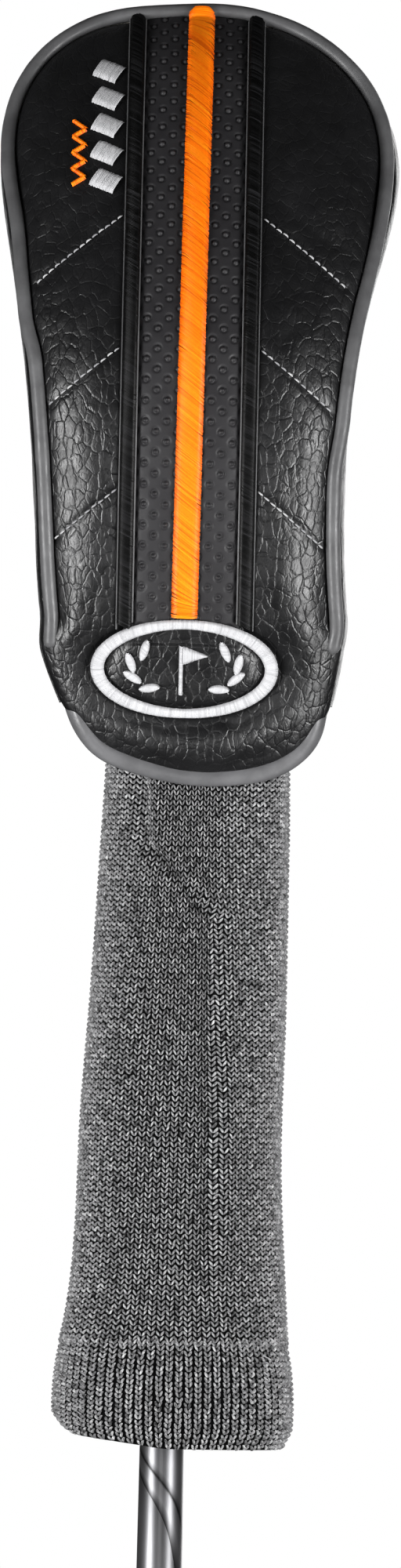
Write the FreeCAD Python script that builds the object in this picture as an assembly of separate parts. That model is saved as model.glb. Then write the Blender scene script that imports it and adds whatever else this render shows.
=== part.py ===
import FreeCAD, Part
import math
import os

# A golf club of the fairway wood family, standing head up as it does in a bag, with its padded
# headcover on. Millimetres. The origin is the centre of the butt end, +Z runs along the shaft
# towards the head, +X is the way the face looks, and -Y is the front of the headcover.

# ---- driving dimensions: shaft and grip ----
club_length = 1041.0          # butt end to the point where the shaft axis meets the sole
butt_radius = 7.62
butt_parallel = 345.0         # the butt stays cylindrical up to here
tip_radius = 4.7
tip_parallel = 100.0          # length of the parallel tip
shaft_wall = 1.3
tip_wall = 1.8
grip_length = 270.0
grip_butt_radius = 13.2
grip_mouth_radius = 9.6
grip_cap_thickness = 4.0
grip_cap_straight = 12.0      # straight part of the butt cap, above its rounded rim
tape_thickness = 0.3

# ---- driving dimensions: head and hosel ----
lie_angle = 58.0              # between the shaft and the sole
loft_angle = 20.0             # of the face
head_heel = -13.0             # ends of the head along the heel to toe line
head_toe = 86.0
head_face = 17.0              # leading edge, ahead of the shaft axis
head_back = -39.0
head_height = 38.0
head_wall = 1.6
face_wall = 2.4
face_cup_depth = 7.0
hosel_radius = 7.1
hosel_length = 62.0           # from the sole point down the shaft to the hosel mouth
sleeve_radius = 5.8
sleeve_depth = 37.0           # how far the shaft sleeve goes into the hosel
sleeve_collar = 5.0
running_gap = 0.1             # between the sleeve and the hosel bore
screw_gap = 0.05              # round the bolt and the weight screw
bolt_radius = 2.5
bolt_head_radius = 4.0
bolt_head_height = 4.5
washer_thickness = 1.0
seat_depth = 10.0             # bolt seat, measured from the sole point
seat_web = 4.0
ferrule_length = 18.0
bolt_grip = 6.0               # how much of the bolt's thread is in the sleeve
bolt_socket = 2.0             # corner radius of its hexagonal socket
bolt_socket_depth = 2.8
weight_screw_radius = 6.0
weight_screw_depth = 7.0
weight_screw_recess = 0.6     # how far it sits inside the sole
weight_screw_socket = 2.4
weight_screw_socket_depth = 3.0
weight_screw_place = (40.0, -24.0)
boss_wall = 2.0               # of the boss round the weight screw
bar_radius = 2.6
bar_places = (24.0, 50.0)
groove_count = 7
groove_pitch = 3.4

# ---- driving dimensions: headcover ----
cover_top = 1104.5
leather = 1.2
foam = 2.5
lining = 0.5
piping_radius = 1.8
piping_end = 941.0            # height of the cords' lower ends
cord_proud = 0.75             # how far a cord's middle stands off the panel
seam_gap = 0.3                # between a panel's edge and its cord
front_radius = 89.0           # how the front panel curves from side to side
back_radius = 110.0
cover_middle = 2.5            # the panels are symmetrical about this X
hem_centre = (5.0, 947.0)     # X and Z of the round lower end of the panels
hem_radius = 38.2
hem_width = 3.6
gusset_end = 930.0
lining_end = 934.0
strip_middle = 1.3
strip_half_width = 13.0
binding_half_width = 1.85
stripe_middle = 1.8
stripe_half_width = 3.25
stripe_top = 1101.5
trim_height = 0.7             # how far satin stitching stands off the leather
badge_centre = (1.5, 937.7)
badge_size = (23.4, 12.3)     # half width and half height
badge_band = 3.5
stitch_length = 1.5
stitch_pitch = 2.25
stitch_width = 0.5
stitch_slope = 40.0           # how steeply the rows of stitches fall away from the strip
stitch_heights = (1049.8, 1016.8, 982.0)
bar_pitch = 7.0
zigzag_pitch = 3.8
cover_left = -70.0            # blocks that cut the cover reach from here
cover_right = 80.0
cover_floor = 860.0

# ---- driving dimensions: sock ----
sock_top = 934.0
cuff_top = 769.0
cuff_bottom = 743.0
knit = 1.5
cuff_thickness = 2.3
elastic_thickness = 0.9
elastic_height = 10.0

# Half outline of the panels seen from the front: height, left X and right X.
outline_rows = [
    (1102.4, -20.0, 20.5),
    (1093.5, -36.5, 37.5),
    (1081.5, -44.6, 47.6),
    (1064.0, -47.2, 52.5),
    (1046.0, -45.0, 49.8),
    (1028.0, -42.0, 45.2),
    (1005.0, -39.0, 41.6),
    (975.0, -36.6, 40.3),
    (952.0, -34.8, 41.6),
]
# Side view of the panels on the middle line: height and Y.
front_rows = [(890.0, -5.5), (905.0, -10.7), (925.0, -17.3), (950.0, -24.8), (975.0, -30.3),
              (998.0, -32.0), (1013.0, -30.6), (1027.0, -26.6), (1045.0, -18.3),
              (1066.0, -6.8), (1080.0, 2.3), (1095.0, 14.8), (1105.0, 27.3), (1115.0, 45.0)]
back_rows = [(890.0, 17.0), (905.0, 21.0), (925.0, 27.0), (950.0, 37.0), (975.0, 49.0),
             (1000.0, 62.0), (1025.0, 75.0), (1048.0, 86.0), (1066.0, 92.0), (1080.0, 92.5),
             (1092.0, 86.0), (1101.0, 72.0), (1109.0, 50.0)]
# Sock: height, middle X, half width, middle Y, half depth.
sock_rows = [(934.0, 5.3, 23.0, 4.8, 15.4), (905.0, 5.3, 23.0, 5.0, 15.1),
             (864.0, 4.2, 24.1, 4.0, 16.0), (817.0, 3.2, 25.2, 3.0, 17.0),
             (781.0, 3.0, 26.6, 2.5, 18.0), (769.0, 2.4, 28.2, 2.2, 19.0),
             (758.0, 2.6, 29.6, 2.0, 20.0), (743.0, 2.8, 29.0, 2.0, 19.5)]

V = FreeCAD.Vector


# ---- helpers ----
def spline(points, closed=False):
    curve = Part.BSplineCurve()
    curve.interpolate(Points=points, PeriodicFlag=closed)
    return curve.toShape()


def tube(outer, inner, low, high):
    """A ring about the shaft axis between two heights."""
    body = Part.makeCylinder(outer, high - low, V(0, 0, low))
    if inner > 0:
        body = body.cut(Part.makeCylinder(inner, high - low, V(0, 0, low)))
    return body


def turned(points):
    """A solid of revolution about the shaft axis from (radius, height) corners."""
    corners = [V(r, 0, z) for r, z in points]
    wire = Part.makePolygon(corners + [corners[0]])
    return Part.Face(wire).revolve(V(0, 0, 0), V(0, 0, 1), 360)


def front_prism(wire):
    """Pushes a closed wire drawn in X and Z through the whole depth of the cover."""
    return Part.Face(wire).extrude(V(0, 260, 0)).translated(V(0, -110, 0))


def polygon_prism(corners):
    points = [V(x, 0, z) for x, z in corners]
    return front_prism(Part.makePolygon(points + [points[0]]))


def rectangle_prism(left, right, low, high):
    return polygon_prism([(left, low), (right, low), (right, high), (left, high)])


def ellipse_prism(centre, half_width, half_height):
    edge = Part.Ellipse(V(0, 0, 0), half_width, half_height).toShape()
    edge.rotate(V(0, 0, 0), V(1, 0, 0), 90)
    edge.translate(V(centre[0], 0, centre[1]))
    return front_prism(Part.Wire([edge]))


def hexagon(radius, place):
    """A hexagonal face square to Z."""
    angles = [math.radians(60 * k) for k in range(7)]
    return Part.Face(Part.makePolygon([place + V(radius * math.cos(a), radius * math.sin(a), 0)
                                       for a in angles]))


def solids_of(shape, least=0.05):
    """The solids of a boolean result, without slivers."""
    found = [s for s in shape.Solids if s.Volume > least]
    return found[0] if len(found) == 1 else Part.makeCompound(found)


def height_line(rows, inset, outward):
    """A side-view line moved by inset along its own normal, as (height, Y) pairs."""
    moved = []
    for k, (z, y) in enumerate(rows):
        before = rows[max(k - 1, 0)]
        after = rows[min(k + 1, len(rows) - 1)]
        slope = (after[1] - before[1]) / (after[0] - before[0])
        length = math.hypot(1.0, slope)
        moved.append((z + outward * inset * slope / length, y - outward * inset / length))
    return moved


def y_on(rows, z):
    """Y of a side-view line at a height."""
    for (z0, y0), (z1, y1) in zip(rows, rows[1:]):
        if z0 <= z <= z1:
            return y0 + (y1 - y0) * (z - z0) / (z1 - z0)
    return rows[-1][1]


def cord_y(rows, radius, outward, x, z):
    """Y of the middle of a piping cord, which stands proud of a panel's surface."""
    sag = radius - math.sqrt(radius**2 - (x - cover_middle)**2)
    return y_on(height_line(rows, -cord_proud, outward), z) - outward * sag


def curved_half(rows, radius, inset, outward):
    """Everything behind the front surface (outward -1) or before the back one (outward +1)."""
    half = 66.0
    far = 170.0
    wires = []
    for z, y in height_line(rows, inset, outward):
        bend = radius - inset
        sag = bend - math.sqrt(bend**2 - half**2)
        left = V(cover_middle - half, y - outward * sag, z)
        right = V(cover_middle + half, y - outward * sag, z)
        arc = Part.Arc(left, V(cover_middle, y, z), right).toShape()
        far_right = V(right.x, -outward * far, z)
        far_left = V(left.x, -outward * far, z)
        wires.append(Part.Wire([arc, Part.makeLine(right, far_right),
                                Part.makeLine(far_right, far_left), Part.makeLine(far_left, left)]))
    return Part.makeLoft(wires, True, False)


made = {}


def behind_front(inset):
    key = ("front", round(inset, 3))
    if key not in made:
        made[key] = curved_half(front_rows, front_radius, inset, -1)
    return made[key]


def before_back(inset):
    key = ("back", round(inset, 3))
    if key not in made:
        made[key] = curved_half(back_rows, back_radius, inset, 1)
    return made[key]


def outline_wire(inset):
    """The panels' outline, a tombstone with a round lower end, moved inwards."""
    right = [V(x, 0, z) for z, _, x in outline_rows]
    left = [V(x, 0, z) for z, x, _ in outline_rows]
    cx, cz = hem_centre
    angles = [math.radians(a) for a in (-15, -45, -90, -135, -165)]
    low = [V(cx + hem_radius * math.cos(a), 0, cz + hem_radius * math.sin(a)) for a in angles]
    loop = [V(cover_middle - 1.5, 0, cover_top)] + right + low + left[::-1]
    if inset == 0:
        return Part.Wire([spline(loop, True)])
    moved = []
    for k, p in enumerate(loop):
        along = loop[(k + 1) % len(loop)].sub(loop[k - 1])
        normal = V(along.z, 0, -along.x).normalize()
        moved.append(p.sub(normal.multiply(-inset)))
    return Part.Wire([spline(moved, True)])


def outline_prism(inset):
    key = ("outline", round(inset, 3))
    if key not in made:
        made[key] = front_prism(outline_wire(inset))
    return made[key]


def block(inset):
    """The cover as a solid lump, every face moved inwards."""
    key = ("block", round(inset, 3))
    if key not in made:
        made[key] = outline_prism(inset).common(behind_front(inset)).common(before_back(inset))
    return made[key]


def raised(prism, height=trim_height):
    """The part of a prism that stands between the front surface and a height above it."""
    return prism.common(behind_front(-height)).cut(behind_front(0))


def sock_section(z, inset):
    rows = sorted(sock_rows)
    for low, high in zip(rows, rows[1:]):
        if low[0] <= z <= high[0]:
            share = (z - low[0]) / (high[0] - low[0])
            cx, a, cy, b = [low[k] + share * (high[k] - low[k]) for k in range(1, 5)]
            break
    squareness = 2.4
    points = []
    for k in range(16):
        angle = 2 * math.pi * k / 16
        c = math.cos(angle)
        s = math.sin(angle)
        x = cx + (a - inset) * math.copysign(abs(c) ** (2 / squareness), c)
        y = cy + (b - inset) * math.copysign(abs(s) ** (2 / squareness), s)
        points.append(V(x, y, z))
    return Part.Wire([spline(points, True)])


def sock_lump(low, high, inset):
    heights = [low] + [row[0] for row in sorted(sock_rows) if low < row[0] < high] + [high]
    return Part.makeLoft([sock_section(z, inset) for z in heights], True, False)


# ---- the club ----
shaft_tip = club_length - hosel_length + sleeve_depth - 8.0
hosel_mouth = club_length - hosel_length
collar_low = hosel_mouth - sleeve_collar
seat = club_length - seat_depth


def make_shaft():
    base = grip_cap_thickness
    taper_end = shaft_tip - tip_parallel
    outer = turned([(0, base), (butt_radius, base), (butt_radius, butt_parallel),
                    (tip_radius, taper_end), (tip_radius, shaft_tip), (0, shaft_tip)])
    inner_butt = butt_radius - shaft_wall
    inner_tip = tip_radius - tip_wall
    bore = turned([(0, base), (inner_butt, base), (inner_butt, butt_parallel),
                   (inner_tip, taper_end), (inner_tip, shaft_tip), (0, shaft_tip)])
    return outer.cut(bore)


def make_tip_plug():
    return tube(tip_radius - tip_wall, 0, shaft_tip - 12.0, shaft_tip)


def make_grip_tape():
    return tube(butt_radius + tape_thickness, butt_radius, grip_cap_thickness, grip_length)


def make_grip():
    mouth_start = grip_length - 6.0
    rim = 1.5
    cap_end = rim + grip_cap_straight
    outer = turned([(0, 0), (grip_butt_radius - rim, 0), (grip_butt_radius, rim),
                    (grip_butt_radius, cap_end), (grip_butt_radius - 1.2, cap_end + 8.0),
                    (grip_mouth_radius, mouth_start), (grip_mouth_radius - 0.4, grip_length),
                    (0, grip_length)])
    return outer.cut(tube(butt_radius + tape_thickness, 0, grip_cap_thickness, grip_length))


def make_ferrule():
    low = collar_low - ferrule_length
    return turned([(tip_radius, low), (tip_radius + 0.7, low), (hosel_radius - 0.5, collar_low - 2.5),
                   (hosel_radius - 0.2, collar_low), (tip_radius, collar_low)])


def make_shaft_sleeve():
    end = hosel_mouth + sleeve_depth
    body = tube(hosel_radius - 0.1, 0, collar_low, hosel_mouth)
    body = body.fuse(tube(sleeve_radius, 0, hosel_mouth, end))
    body = body.cut(tube(tip_radius, 0, collar_low, shaft_tip))
    return body.cut(tube(bolt_radius + screw_gap, 0, shaft_tip, end)).removeSplitter()


def make_hosel_bolt():
    head_low = seat + washer_thickness
    shank_low = hosel_mouth + sleeve_depth - bolt_grip
    bolt = tube(bolt_radius, 0, shank_low, head_low)
    head_high = head_low + bolt_head_height
    bolt = bolt.fuse(tube(bolt_head_radius, 0, head_low, head_high))
    socket = hexagon(bolt_socket, V(0, 0, head_high)).extrude(V(0, 0, -bolt_socket_depth))
    return bolt.cut(socket).removeSplitter()


def make_bolt_washer():
    return tube(bolt_head_radius + 0.1, bolt_radius + 0.2, seat, seat + washer_thickness)


# ---- the head, drawn with X to the toe, Y to the face and Z to the crown ----
lie = math.radians(lie_angle)
toe_way = V(0, math.sin(lie), math.cos(lie))
crown_way = V(0, math.cos(lie), -math.sin(lie))
head_place = FreeCAD.Matrix(toe_way.x, 1, crown_way.x, 0,
                            toe_way.y, 0, crown_way.y, 0,
                            toe_way.z, 0, crown_way.z, club_length,
                            0, 0, 0, 1)


def on_club(shape):
    """Moves a shape drawn in the head's own axes on to the end of the shaft."""
    placed = shape.copy()
    placed.Placement = FreeCAD.Placement(head_place).multiply(placed.Placement)
    return placed


def off_club(shape):
    """Moves a shape drawn on the club into the head's own axes."""
    placed = shape.copy()
    placed.Placement = FreeCAD.Placement(head_place.inverse()).multiply(placed.Placement)
    return placed


def head_outline(scale, height, inset):
    """A plan view of the head, rounder at the back than at the face."""
    mid_x = (head_heel + head_toe) / 2
    half_x = (head_toe - head_heel) / 2 * scale - inset
    face_y = (head_face + 6.0) * scale - inset
    rear_y = head_back * scale + inset
    plan = [(1.0, 0.10), (0.90, 0.62), (0.45, 0.95), (-0.10, 1.0), (-0.62, 0.86), (-0.93, 0.42),
            (-1.0, 0.0), (-0.88, -0.36), (-0.50, -0.78), (0.05, -1.0), (0.55, -0.88),
            (0.90, -0.48)]
    points = [V(mid_x + half_x * px, py * (face_y if py > 0 else -rear_y), height)
              for px, py in plan]
    return Part.Wire([spline(points, True)])


head_levels = [(0.0, 0.74), (3.0, 0.90), (9.0, 0.98), (16.0, 1.0), (24.0, 0.93), (31.0, 0.76),
               (36.0, 0.50), (head_height, 0.30)]


def face_half_space(inset):
    """Everything behind the face, which leans back by the loft angle."""
    slab = Part.makeBox(260, 120, 160, V(-90, -120, -60))
    slab.rotate(V(0, 0, 0), V(1, 0, 0), loft_angle)
    slab.translate(V(0, head_face - inset / math.cos(math.radians(loft_angle)), 0))
    return slab


def head_lump(inset):
    levels = [(h + inset * (1 - 2 * h / head_height), s) for h, s in head_levels]
    lump = Part.makeLoft([head_outline(s, h, inset) for h, s in levels], True, False)
    return lump.common(face_half_space(inset if inset == 0 else face_wall))


def make_head():
    """The hollow head's pieces, which share one outer and one inner surface."""
    outer = head_lump(0.0)
    cavity = head_lump(head_wall)
    shell = outer.cut(cavity)
    hosel_post = off_club(tube(hosel_radius, 0, hosel_mouth, club_length + 6.0))
    bore = off_club(tube(sleeve_radius + running_gap, 0, hosel_mouth, seat - seat_web))
    bolt_hole = off_club(tube(bolt_radius + 0.2, 0, seat - seat_web, seat))
    port = off_club(tube(bolt_head_radius + 0.6, 0, seat, club_length + 10.0))
    above_sole = Part.makeBox(260, 160, 160, V(-90, -80, 0.0))
    behind_cup = face_half_space(face_cup_depth)
    crown_zone = Part.makeBox(74, 60, 40, V(8.0, head_back + 6.0, 24.0))
    hosel = hosel_post.common(above_sole)
    screw_axis = V(*weight_screw_place, 0)
    boss = Part.makeCylinder(weight_screw_radius + boss_wall, weight_screw_depth + boss_wall, screw_axis)
    boss = boss.common(cavity)
    hole = Part.makeCylinder(weight_screw_radius + screw_gap, weight_screw_depth, screw_axis)

    frame = shell.common(behind_cup).cut(crown_zone).fuse(hosel).fuse(boss)
    frame = frame.cut(bore).cut(bolt_hole).cut(port).cut(hole)
    cup = shell.cut(behind_cup).cut(hosel_post).cut(score_lines())
    crown = shell.common(crown_zone).common(behind_cup).cut(hosel_post)
    bars = [Part.makeCylinder(bar_radius, 60, V(x, 3.0, -5)).common(cavity) for x in bar_places]
    weight = Part.makeBox(52, 9.0, 6.0, V(14.0, -39.0, 0)).common(cavity)
    weight = weight.cut(boss).cut(hole)
    return {
        "head_body": solids_of(frame, 20.0),
        "face_cup": solids_of(cup, 20.0),
        "crown_plate": solids_of(crown, 20.0),
        "stiffener_bars": Part.makeCompound(bars),
        "sole_weight": solids_of(weight, 20.0),
        "weight_screw": make_weight_screw(screw_axis),
    }


def score_lines():
    """Grooves across the hitting part of the face."""
    grooves = []
    for k in range(groove_count):
        groove = Part.makeBox(46, 1.2, 0.8, V(14.0, -0.6, 6.0 + groove_pitch * k))
        groove.rotate(V(0, 0, 0), V(1, 0, 0), loft_angle)
        groove.translate(V(0, head_face, 0))
        grooves.append(groove)
    return Part.makeCompound(grooves)


def make_weight_screw(place):
    """A plug of heavy metal with a hexagonal socket, just inside the sole."""
    low = place + V(0, 0, weight_screw_recess)
    body = Part.makeCylinder(weight_screw_radius, weight_screw_depth - weight_screw_recess, low)
    return body.cut(hexagon(weight_screw_socket, low).extrude(V(0, 0, weight_screw_socket_depth)))


# ---- the headcover ----
def crescent(inner_edge, outer_edge):
    """The strip that follows the round lower end of the panels."""
    ring = ellipse_prism(hem_centre, outer_edge, outer_edge)
    ring = ring.cut(ellipse_prism(hem_centre, inner_edge, inner_edge))
    return ring.common(rectangle_prism(-60, 70, 880, gusset_end))


def piping_tube(rows, radius, outward):
    """A cord along the edge of a panel, from one side over the top to the other."""
    wire = outline_wire(piping_radius)
    top = [p for p in wire.discretize(Number=260) if p.z >= piping_end]
    right = sorted([p for p in top if p.x > cover_middle], key=lambda p: (p.z, -p.x))
    left = sorted([p for p in top if p.x <= cover_middle], key=lambda p: (-p.z, -p.x))
    chosen = right[::7] + left[::7]
    path = spline([V(p.x, cord_y(rows, radius, outward, p.x, p.z), p.z) for p in chosen])
    start = path.valueAt(path.FirstParameter)
    way = path.tangentAt(path.FirstParameter)
    circle = Part.Wire([Part.Circle(start, way, piping_radius).toShape()])
    return Part.Wire([path]).makePipeShell([circle], True, False)


def make_hem_binding():
    """A bound edge round the whole mouth of the cover."""
    front = crescent(hem_radius - hem_width, hem_radius)
    front = front.common(behind_front(-0.3)).cut(behind_front(leather + 0.3))
    back = crescent(hem_radius - hem_width, hem_radius)
    back = back.common(before_back(-0.3)).cut(before_back(leather + 0.3))
    sides = outline_prism(-0.3).cut(outline_prism(leather + 0.3))
    sides = sides.common(behind_front(leather + 0.3)).common(before_back(leather + 0.3))
    low = gusset_end - hem_width
    sides = sides.common(rectangle_prism(cover_left, cover_right, low, gusset_end))
    return front.fuse(sides).fuse(back)


def stitch_rows():
    """Six rows of stitches that fall away from the middle strip."""
    fall = math.radians(stitch_slope)
    along = V(math.cos(fall), 0, -math.sin(fall)) * (stitch_length / 2)
    across = V(math.sin(fall), 0, math.cos(fall)) * (stitch_width / 2)
    corners = (-along - across, along - across, along + across, across - along)
    prisms = []
    for side, start_x, end_rows in ((-1, -16.6, (-37.0, -33.6, -31.6)), (1, 19.0, (39.2, 36.4, 35.2))):
        for high, end_x in zip(stitch_heights, end_rows):
            count = int(abs(end_x - start_x) / math.cos(fall) / stitch_pitch)
            for k in range(count):
                x = start_x + (k + 0.5) / count * (end_x - start_x)
                z = high - math.tan(fall) * abs(x - start_x)
                prisms.append(polygon_prism([(x + side * c.x, z + c.z) for c in corners]))
    return prisms


def badge_shapes():
    """Two sprigs of leaves round a pennant on its pole."""
    cx, cz = badge_centre
    shapes = [rectangle_prism(cx - 1.2, cx - 0.5, cz - 6.2, cz + 5.4),
              polygon_prism([(cx - 0.5, cz + 5.4), (cx + 5.2, cz + 3.2), (cx - 0.5, cz + 1.0)])]
    for side in (-1, 1):
        for k in range(4):
            angle = math.radians(-62 + 38 * k)
            middle = V(cx + side * (4.0 + 9.6 * math.cos(angle)), 0, cz + 5.6 * math.sin(angle))
            tilt = angle + math.radians(58)
            way = V(side * math.cos(tilt), 0, math.sin(tilt))
            across = V(-way.z, 0, way.x)
            tips = [middle + way * 2.1, middle + across * 0.9, middle - way * 2.1, middle - across * 0.9]
            shapes.append(polygon_prism([(p.x, p.z) for p in tips]))
    return shapes


def bar_shapes():
    """Five short slanted bars down the side of the front panel."""
    bars = []
    for k in range(5):
        low = 1084.6 - bar_pitch * k
        bars.append(polygon_prism([(-23.6, low), (-16.8, low - 1.8), (-16.8, low + 3.0), (-23.6, low + 4.8)]))
    return bars


def zigzag_shapes():
    """A narrow zigzag beside the bars."""
    shapes = []
    for k in range(4):
        high = 1072.0 - zigzag_pitch * k
        middle = high - zigzag_pitch / 2
        low = high - zigzag_pitch
        for x0, x1, z0, z1 in ((-28.2, -25.2, high, middle), (-25.2, -28.2, middle, low)):
            shapes.append(polygon_prism([(x0, z0 - 0.5), (x1, z1 - 0.5), (x1, z1 + 0.5), (x0, z0 + 0.5)]))
    return shapes


def make_cover():
    """Every sewn layer of the padded cover, from the outside in."""
    inside_front = behind_front(leather)
    inside_back = before_back(leather)
    mouth = rectangle_prism(cover_left, cover_right, cover_floor, gusset_end)
    strip_zone = rectangle_prism(strip_middle - strip_half_width, strip_middle + strip_half_width,
                                 badge_centre[1], cover_top + 5)
    hem_zone = crescent(hem_radius - hem_width, hem_radius + 5)
    badge_zone = ellipse_prism(badge_centre, *badge_size)
    inside_piping = outline_prism(2 * piping_radius + seam_gap)

    face = block(0).cut(inside_front).cut(hem_zone).common(inside_piping)
    strip = face.common(strip_zone).cut(badge_zone)
    panel = face.cut(strip_zone.cut(badge_zone))
    back = block(0).cut(inside_back).cut(hem_zone).common(inside_piping)
    side = block(0).common(inside_front).common(before_back(leather + 2 * seam_gap))
    side = side.cut(outline_prism(leather)).cut(mouth)
    below = rectangle_prism(cover_left, cover_right, cover_floor, lining_end)
    padding = block(leather).cut(block(leather + foam)).cut(below)
    inner = block(leather + foam).cut(block(leather + foam + lining)).cut(below)

    def trim(prism):
        return raised(prism.common(inside_piping))

    def outside_badge(prism):
        return prism.cut(badge_zone)

    half = binding_half_width
    edges = (strip_middle - strip_half_width - half, strip_middle + strip_half_width + half)
    bindings = [outside_badge(rectangle_prism(x - half, x + half, badge_centre[1], cover_top))
                for x in edges]
    stripe = rectangle_prism(stripe_middle - stripe_half_width, stripe_middle + stripe_half_width,
                             badge_centre[1], stripe_top - stripe_half_width)
    stripe = stripe.fuse(ellipse_prism((stripe_middle, stripe_top - stripe_half_width),
                                       stripe_half_width + 0.001, stripe_half_width))
    ring = badge_zone.cut(ellipse_prism(badge_centre, badge_size[0] - badge_band,
                                        badge_size[1] - badge_band * 0.62))
    return {
        "front_panel": solids_of(panel, 5.0),
        "dimple_strip": solids_of(strip, 5.0),
        "strip_binding_left": solids_of(trim(bindings[0])),
        "strip_binding_right": solids_of(trim(bindings[1])),
        "orange_stripe": solids_of(trim(outside_badge(stripe))),
        "badge_ring": solids_of(raised(ring)),
        "badge_motif": solids_of(raised(Part.makeCompound(badge_shapes())), 0.02),
        "side_bars": solids_of(trim(Part.makeCompound(bar_shapes()))),
        "side_zigzag": solids_of(raised(zigzag_shapes()[0].multiFuse(zigzag_shapes()[1:]))),
        "chevron_stitching": solids_of(raised(Part.makeCompound(stitch_rows()), 0.4), 0.01),
        "back_panel": solids_of(back, 5.0),
        "gusset": solids_of(side, 5.0),
        "piping_front": piping_tube(front_rows, front_radius, -1),
        "piping_back": piping_tube(back_rows, back_radius, 1),
        "hem_binding": solids_of(make_hem_binding(), 1.0),
        "foam_padding": solids_of(padding, 5.0),
        "cover_lining": solids_of(inner, 5.0),
    }


# ---- the sock ----
def make_sock():
    sock = sock_lump(cuff_top, sock_top, 0).cut(sock_lump(cuff_top, sock_top, knit))
    corner = polygon_prism([(-60, cuff_bottom - 1), (-17, cuff_bottom - 1), (-23.5, 746.5),
                            (-28.0, 752.5), (-60, 753.0)])
    cuff = sock_lump(cuff_bottom, cuff_top, 0).cut(sock_lump(cuff_bottom, cuff_top, cuff_thickness))
    cuff = cuff.cut(corner)
    low = sock_top - elastic_height
    band = sock_lump(cuff_top, sock_top, knit)
    band = band.cut(sock_lump(cuff_top, sock_top, knit + elastic_thickness))
    band = band.common(rectangle_prism(-60, 70, low, sock_top - 1.0))
    skin = sock_lump(cuff_bottom, cuff_top, -0.5).cut(sock_lump(cuff_bottom, cuff_top, 0))
    front_only = Part.makeBox(120, 60, 60, V(-60, -60, cuff_bottom - 5))
    seams = []
    for x_low, x_high in ((-21.2, -19.2), (26.4, 25.4)):
        for k in range(9):
            z = 748.0 + 2.2 * k
            x = x_low + (x_high - x_low) * k / 8
            seams.append(polygon_prism([(x - 0.8, z + 0.4), (x + 0.8, z - 0.6),
                                        (x + 0.8, z - 0.1), (x - 0.8, z + 0.9)]))
    stitches = skin.common(front_only).common(Part.makeCompound(seams))
    return {
        "knit_sock": solids_of(sock, 5.0),
        "sock_cuff": solids_of(cuff, 5.0),
        "throat_elastic": solids_of(band, 5.0),
        "cuff_seam_stitches": solids_of(stitches, 0.01),
    }


def main():
    nodes = {
        "grip": make_grip(),
        "grip_tape": make_grip_tape(),
        "shaft": make_shaft(),
        "tip_plug": make_tip_plug(),
        "ferrule": make_ferrule(),
        "shaft_sleeve": make_shaft_sleeve(),
        "hosel_bolt": make_hosel_bolt(),
        "bolt_washer": make_bolt_washer(),
    }
    for name, shape in make_head().items():
        nodes[name] = on_club(shape)
    nodes.update(make_cover())
    nodes.update(make_sock())
    os.makedirs("parts", exist_ok=True)
    for name, shape in nodes.items():
        shape.exportStep("parts/" + name + ".step")
        box = shape.BoundBox
        print(f"{name:22s} solids {len(shape.Solids):3d} valid {shape.isValid()} "
              f"volume {shape.Volume:10.1f} x {box.XMin:7.1f} {box.XMax:7.1f} "
              f"y {box.YMin:7.1f} {box.YMax:7.1f} z {box.ZMin:7.1f} {box.ZMax:7.1f}")


main()
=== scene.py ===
import math

import bpy
import numpy as np
from mathutils import Matrix, Vector
from mathutils.bvhtree import BVHTree
from mathutils.kdtree import KDTree

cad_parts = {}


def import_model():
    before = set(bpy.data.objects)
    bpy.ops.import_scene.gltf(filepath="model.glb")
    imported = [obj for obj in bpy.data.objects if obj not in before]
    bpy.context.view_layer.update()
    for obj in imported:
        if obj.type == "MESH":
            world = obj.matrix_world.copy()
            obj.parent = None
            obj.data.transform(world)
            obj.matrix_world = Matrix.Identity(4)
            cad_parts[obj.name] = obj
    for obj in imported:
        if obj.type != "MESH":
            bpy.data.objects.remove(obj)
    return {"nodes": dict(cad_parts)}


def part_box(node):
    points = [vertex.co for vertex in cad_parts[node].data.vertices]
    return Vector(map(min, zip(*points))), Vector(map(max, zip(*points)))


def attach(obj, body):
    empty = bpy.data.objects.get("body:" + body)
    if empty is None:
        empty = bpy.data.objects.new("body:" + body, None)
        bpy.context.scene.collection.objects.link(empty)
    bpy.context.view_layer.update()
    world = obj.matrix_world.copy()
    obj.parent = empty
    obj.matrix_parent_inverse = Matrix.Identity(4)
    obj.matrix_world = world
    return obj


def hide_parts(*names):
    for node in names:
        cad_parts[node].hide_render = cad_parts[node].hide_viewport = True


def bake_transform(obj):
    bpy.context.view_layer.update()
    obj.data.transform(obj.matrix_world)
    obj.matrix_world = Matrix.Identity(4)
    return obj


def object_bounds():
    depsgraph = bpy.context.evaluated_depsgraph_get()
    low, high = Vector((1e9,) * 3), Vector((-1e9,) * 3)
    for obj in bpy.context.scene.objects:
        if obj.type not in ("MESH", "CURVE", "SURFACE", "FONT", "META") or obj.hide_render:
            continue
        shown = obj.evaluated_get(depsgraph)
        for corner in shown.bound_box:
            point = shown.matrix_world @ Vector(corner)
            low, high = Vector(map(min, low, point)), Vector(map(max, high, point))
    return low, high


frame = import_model()
cad_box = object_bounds()
nodes = frame["nodes"]
scene = bpy.context.scene
MM = 0.001
GRAIN_DEPTH = 0.03 * MM
CLOTH_FRAMES = 20


# ---- reading the frame
def tree_of(*names):
    """One search tree over some CAD nodes' meshes."""
    points = []
    faces = []
    for name in names:
        mesh = nodes[name].data
        start = len(points)
        points += [v.co.copy() for v in mesh.vertices]
        faces += [tuple(i + start for i in p.vertices) for p in mesh.polygons]
    return BVHTree.FromPolygons(points, faces)


def middle_and_half(node):
    """Middle and half width of a CAD node in X."""
    low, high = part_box(node)
    return (low.x + high.x) / 2, (high.x - low.x) / 2


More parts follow.
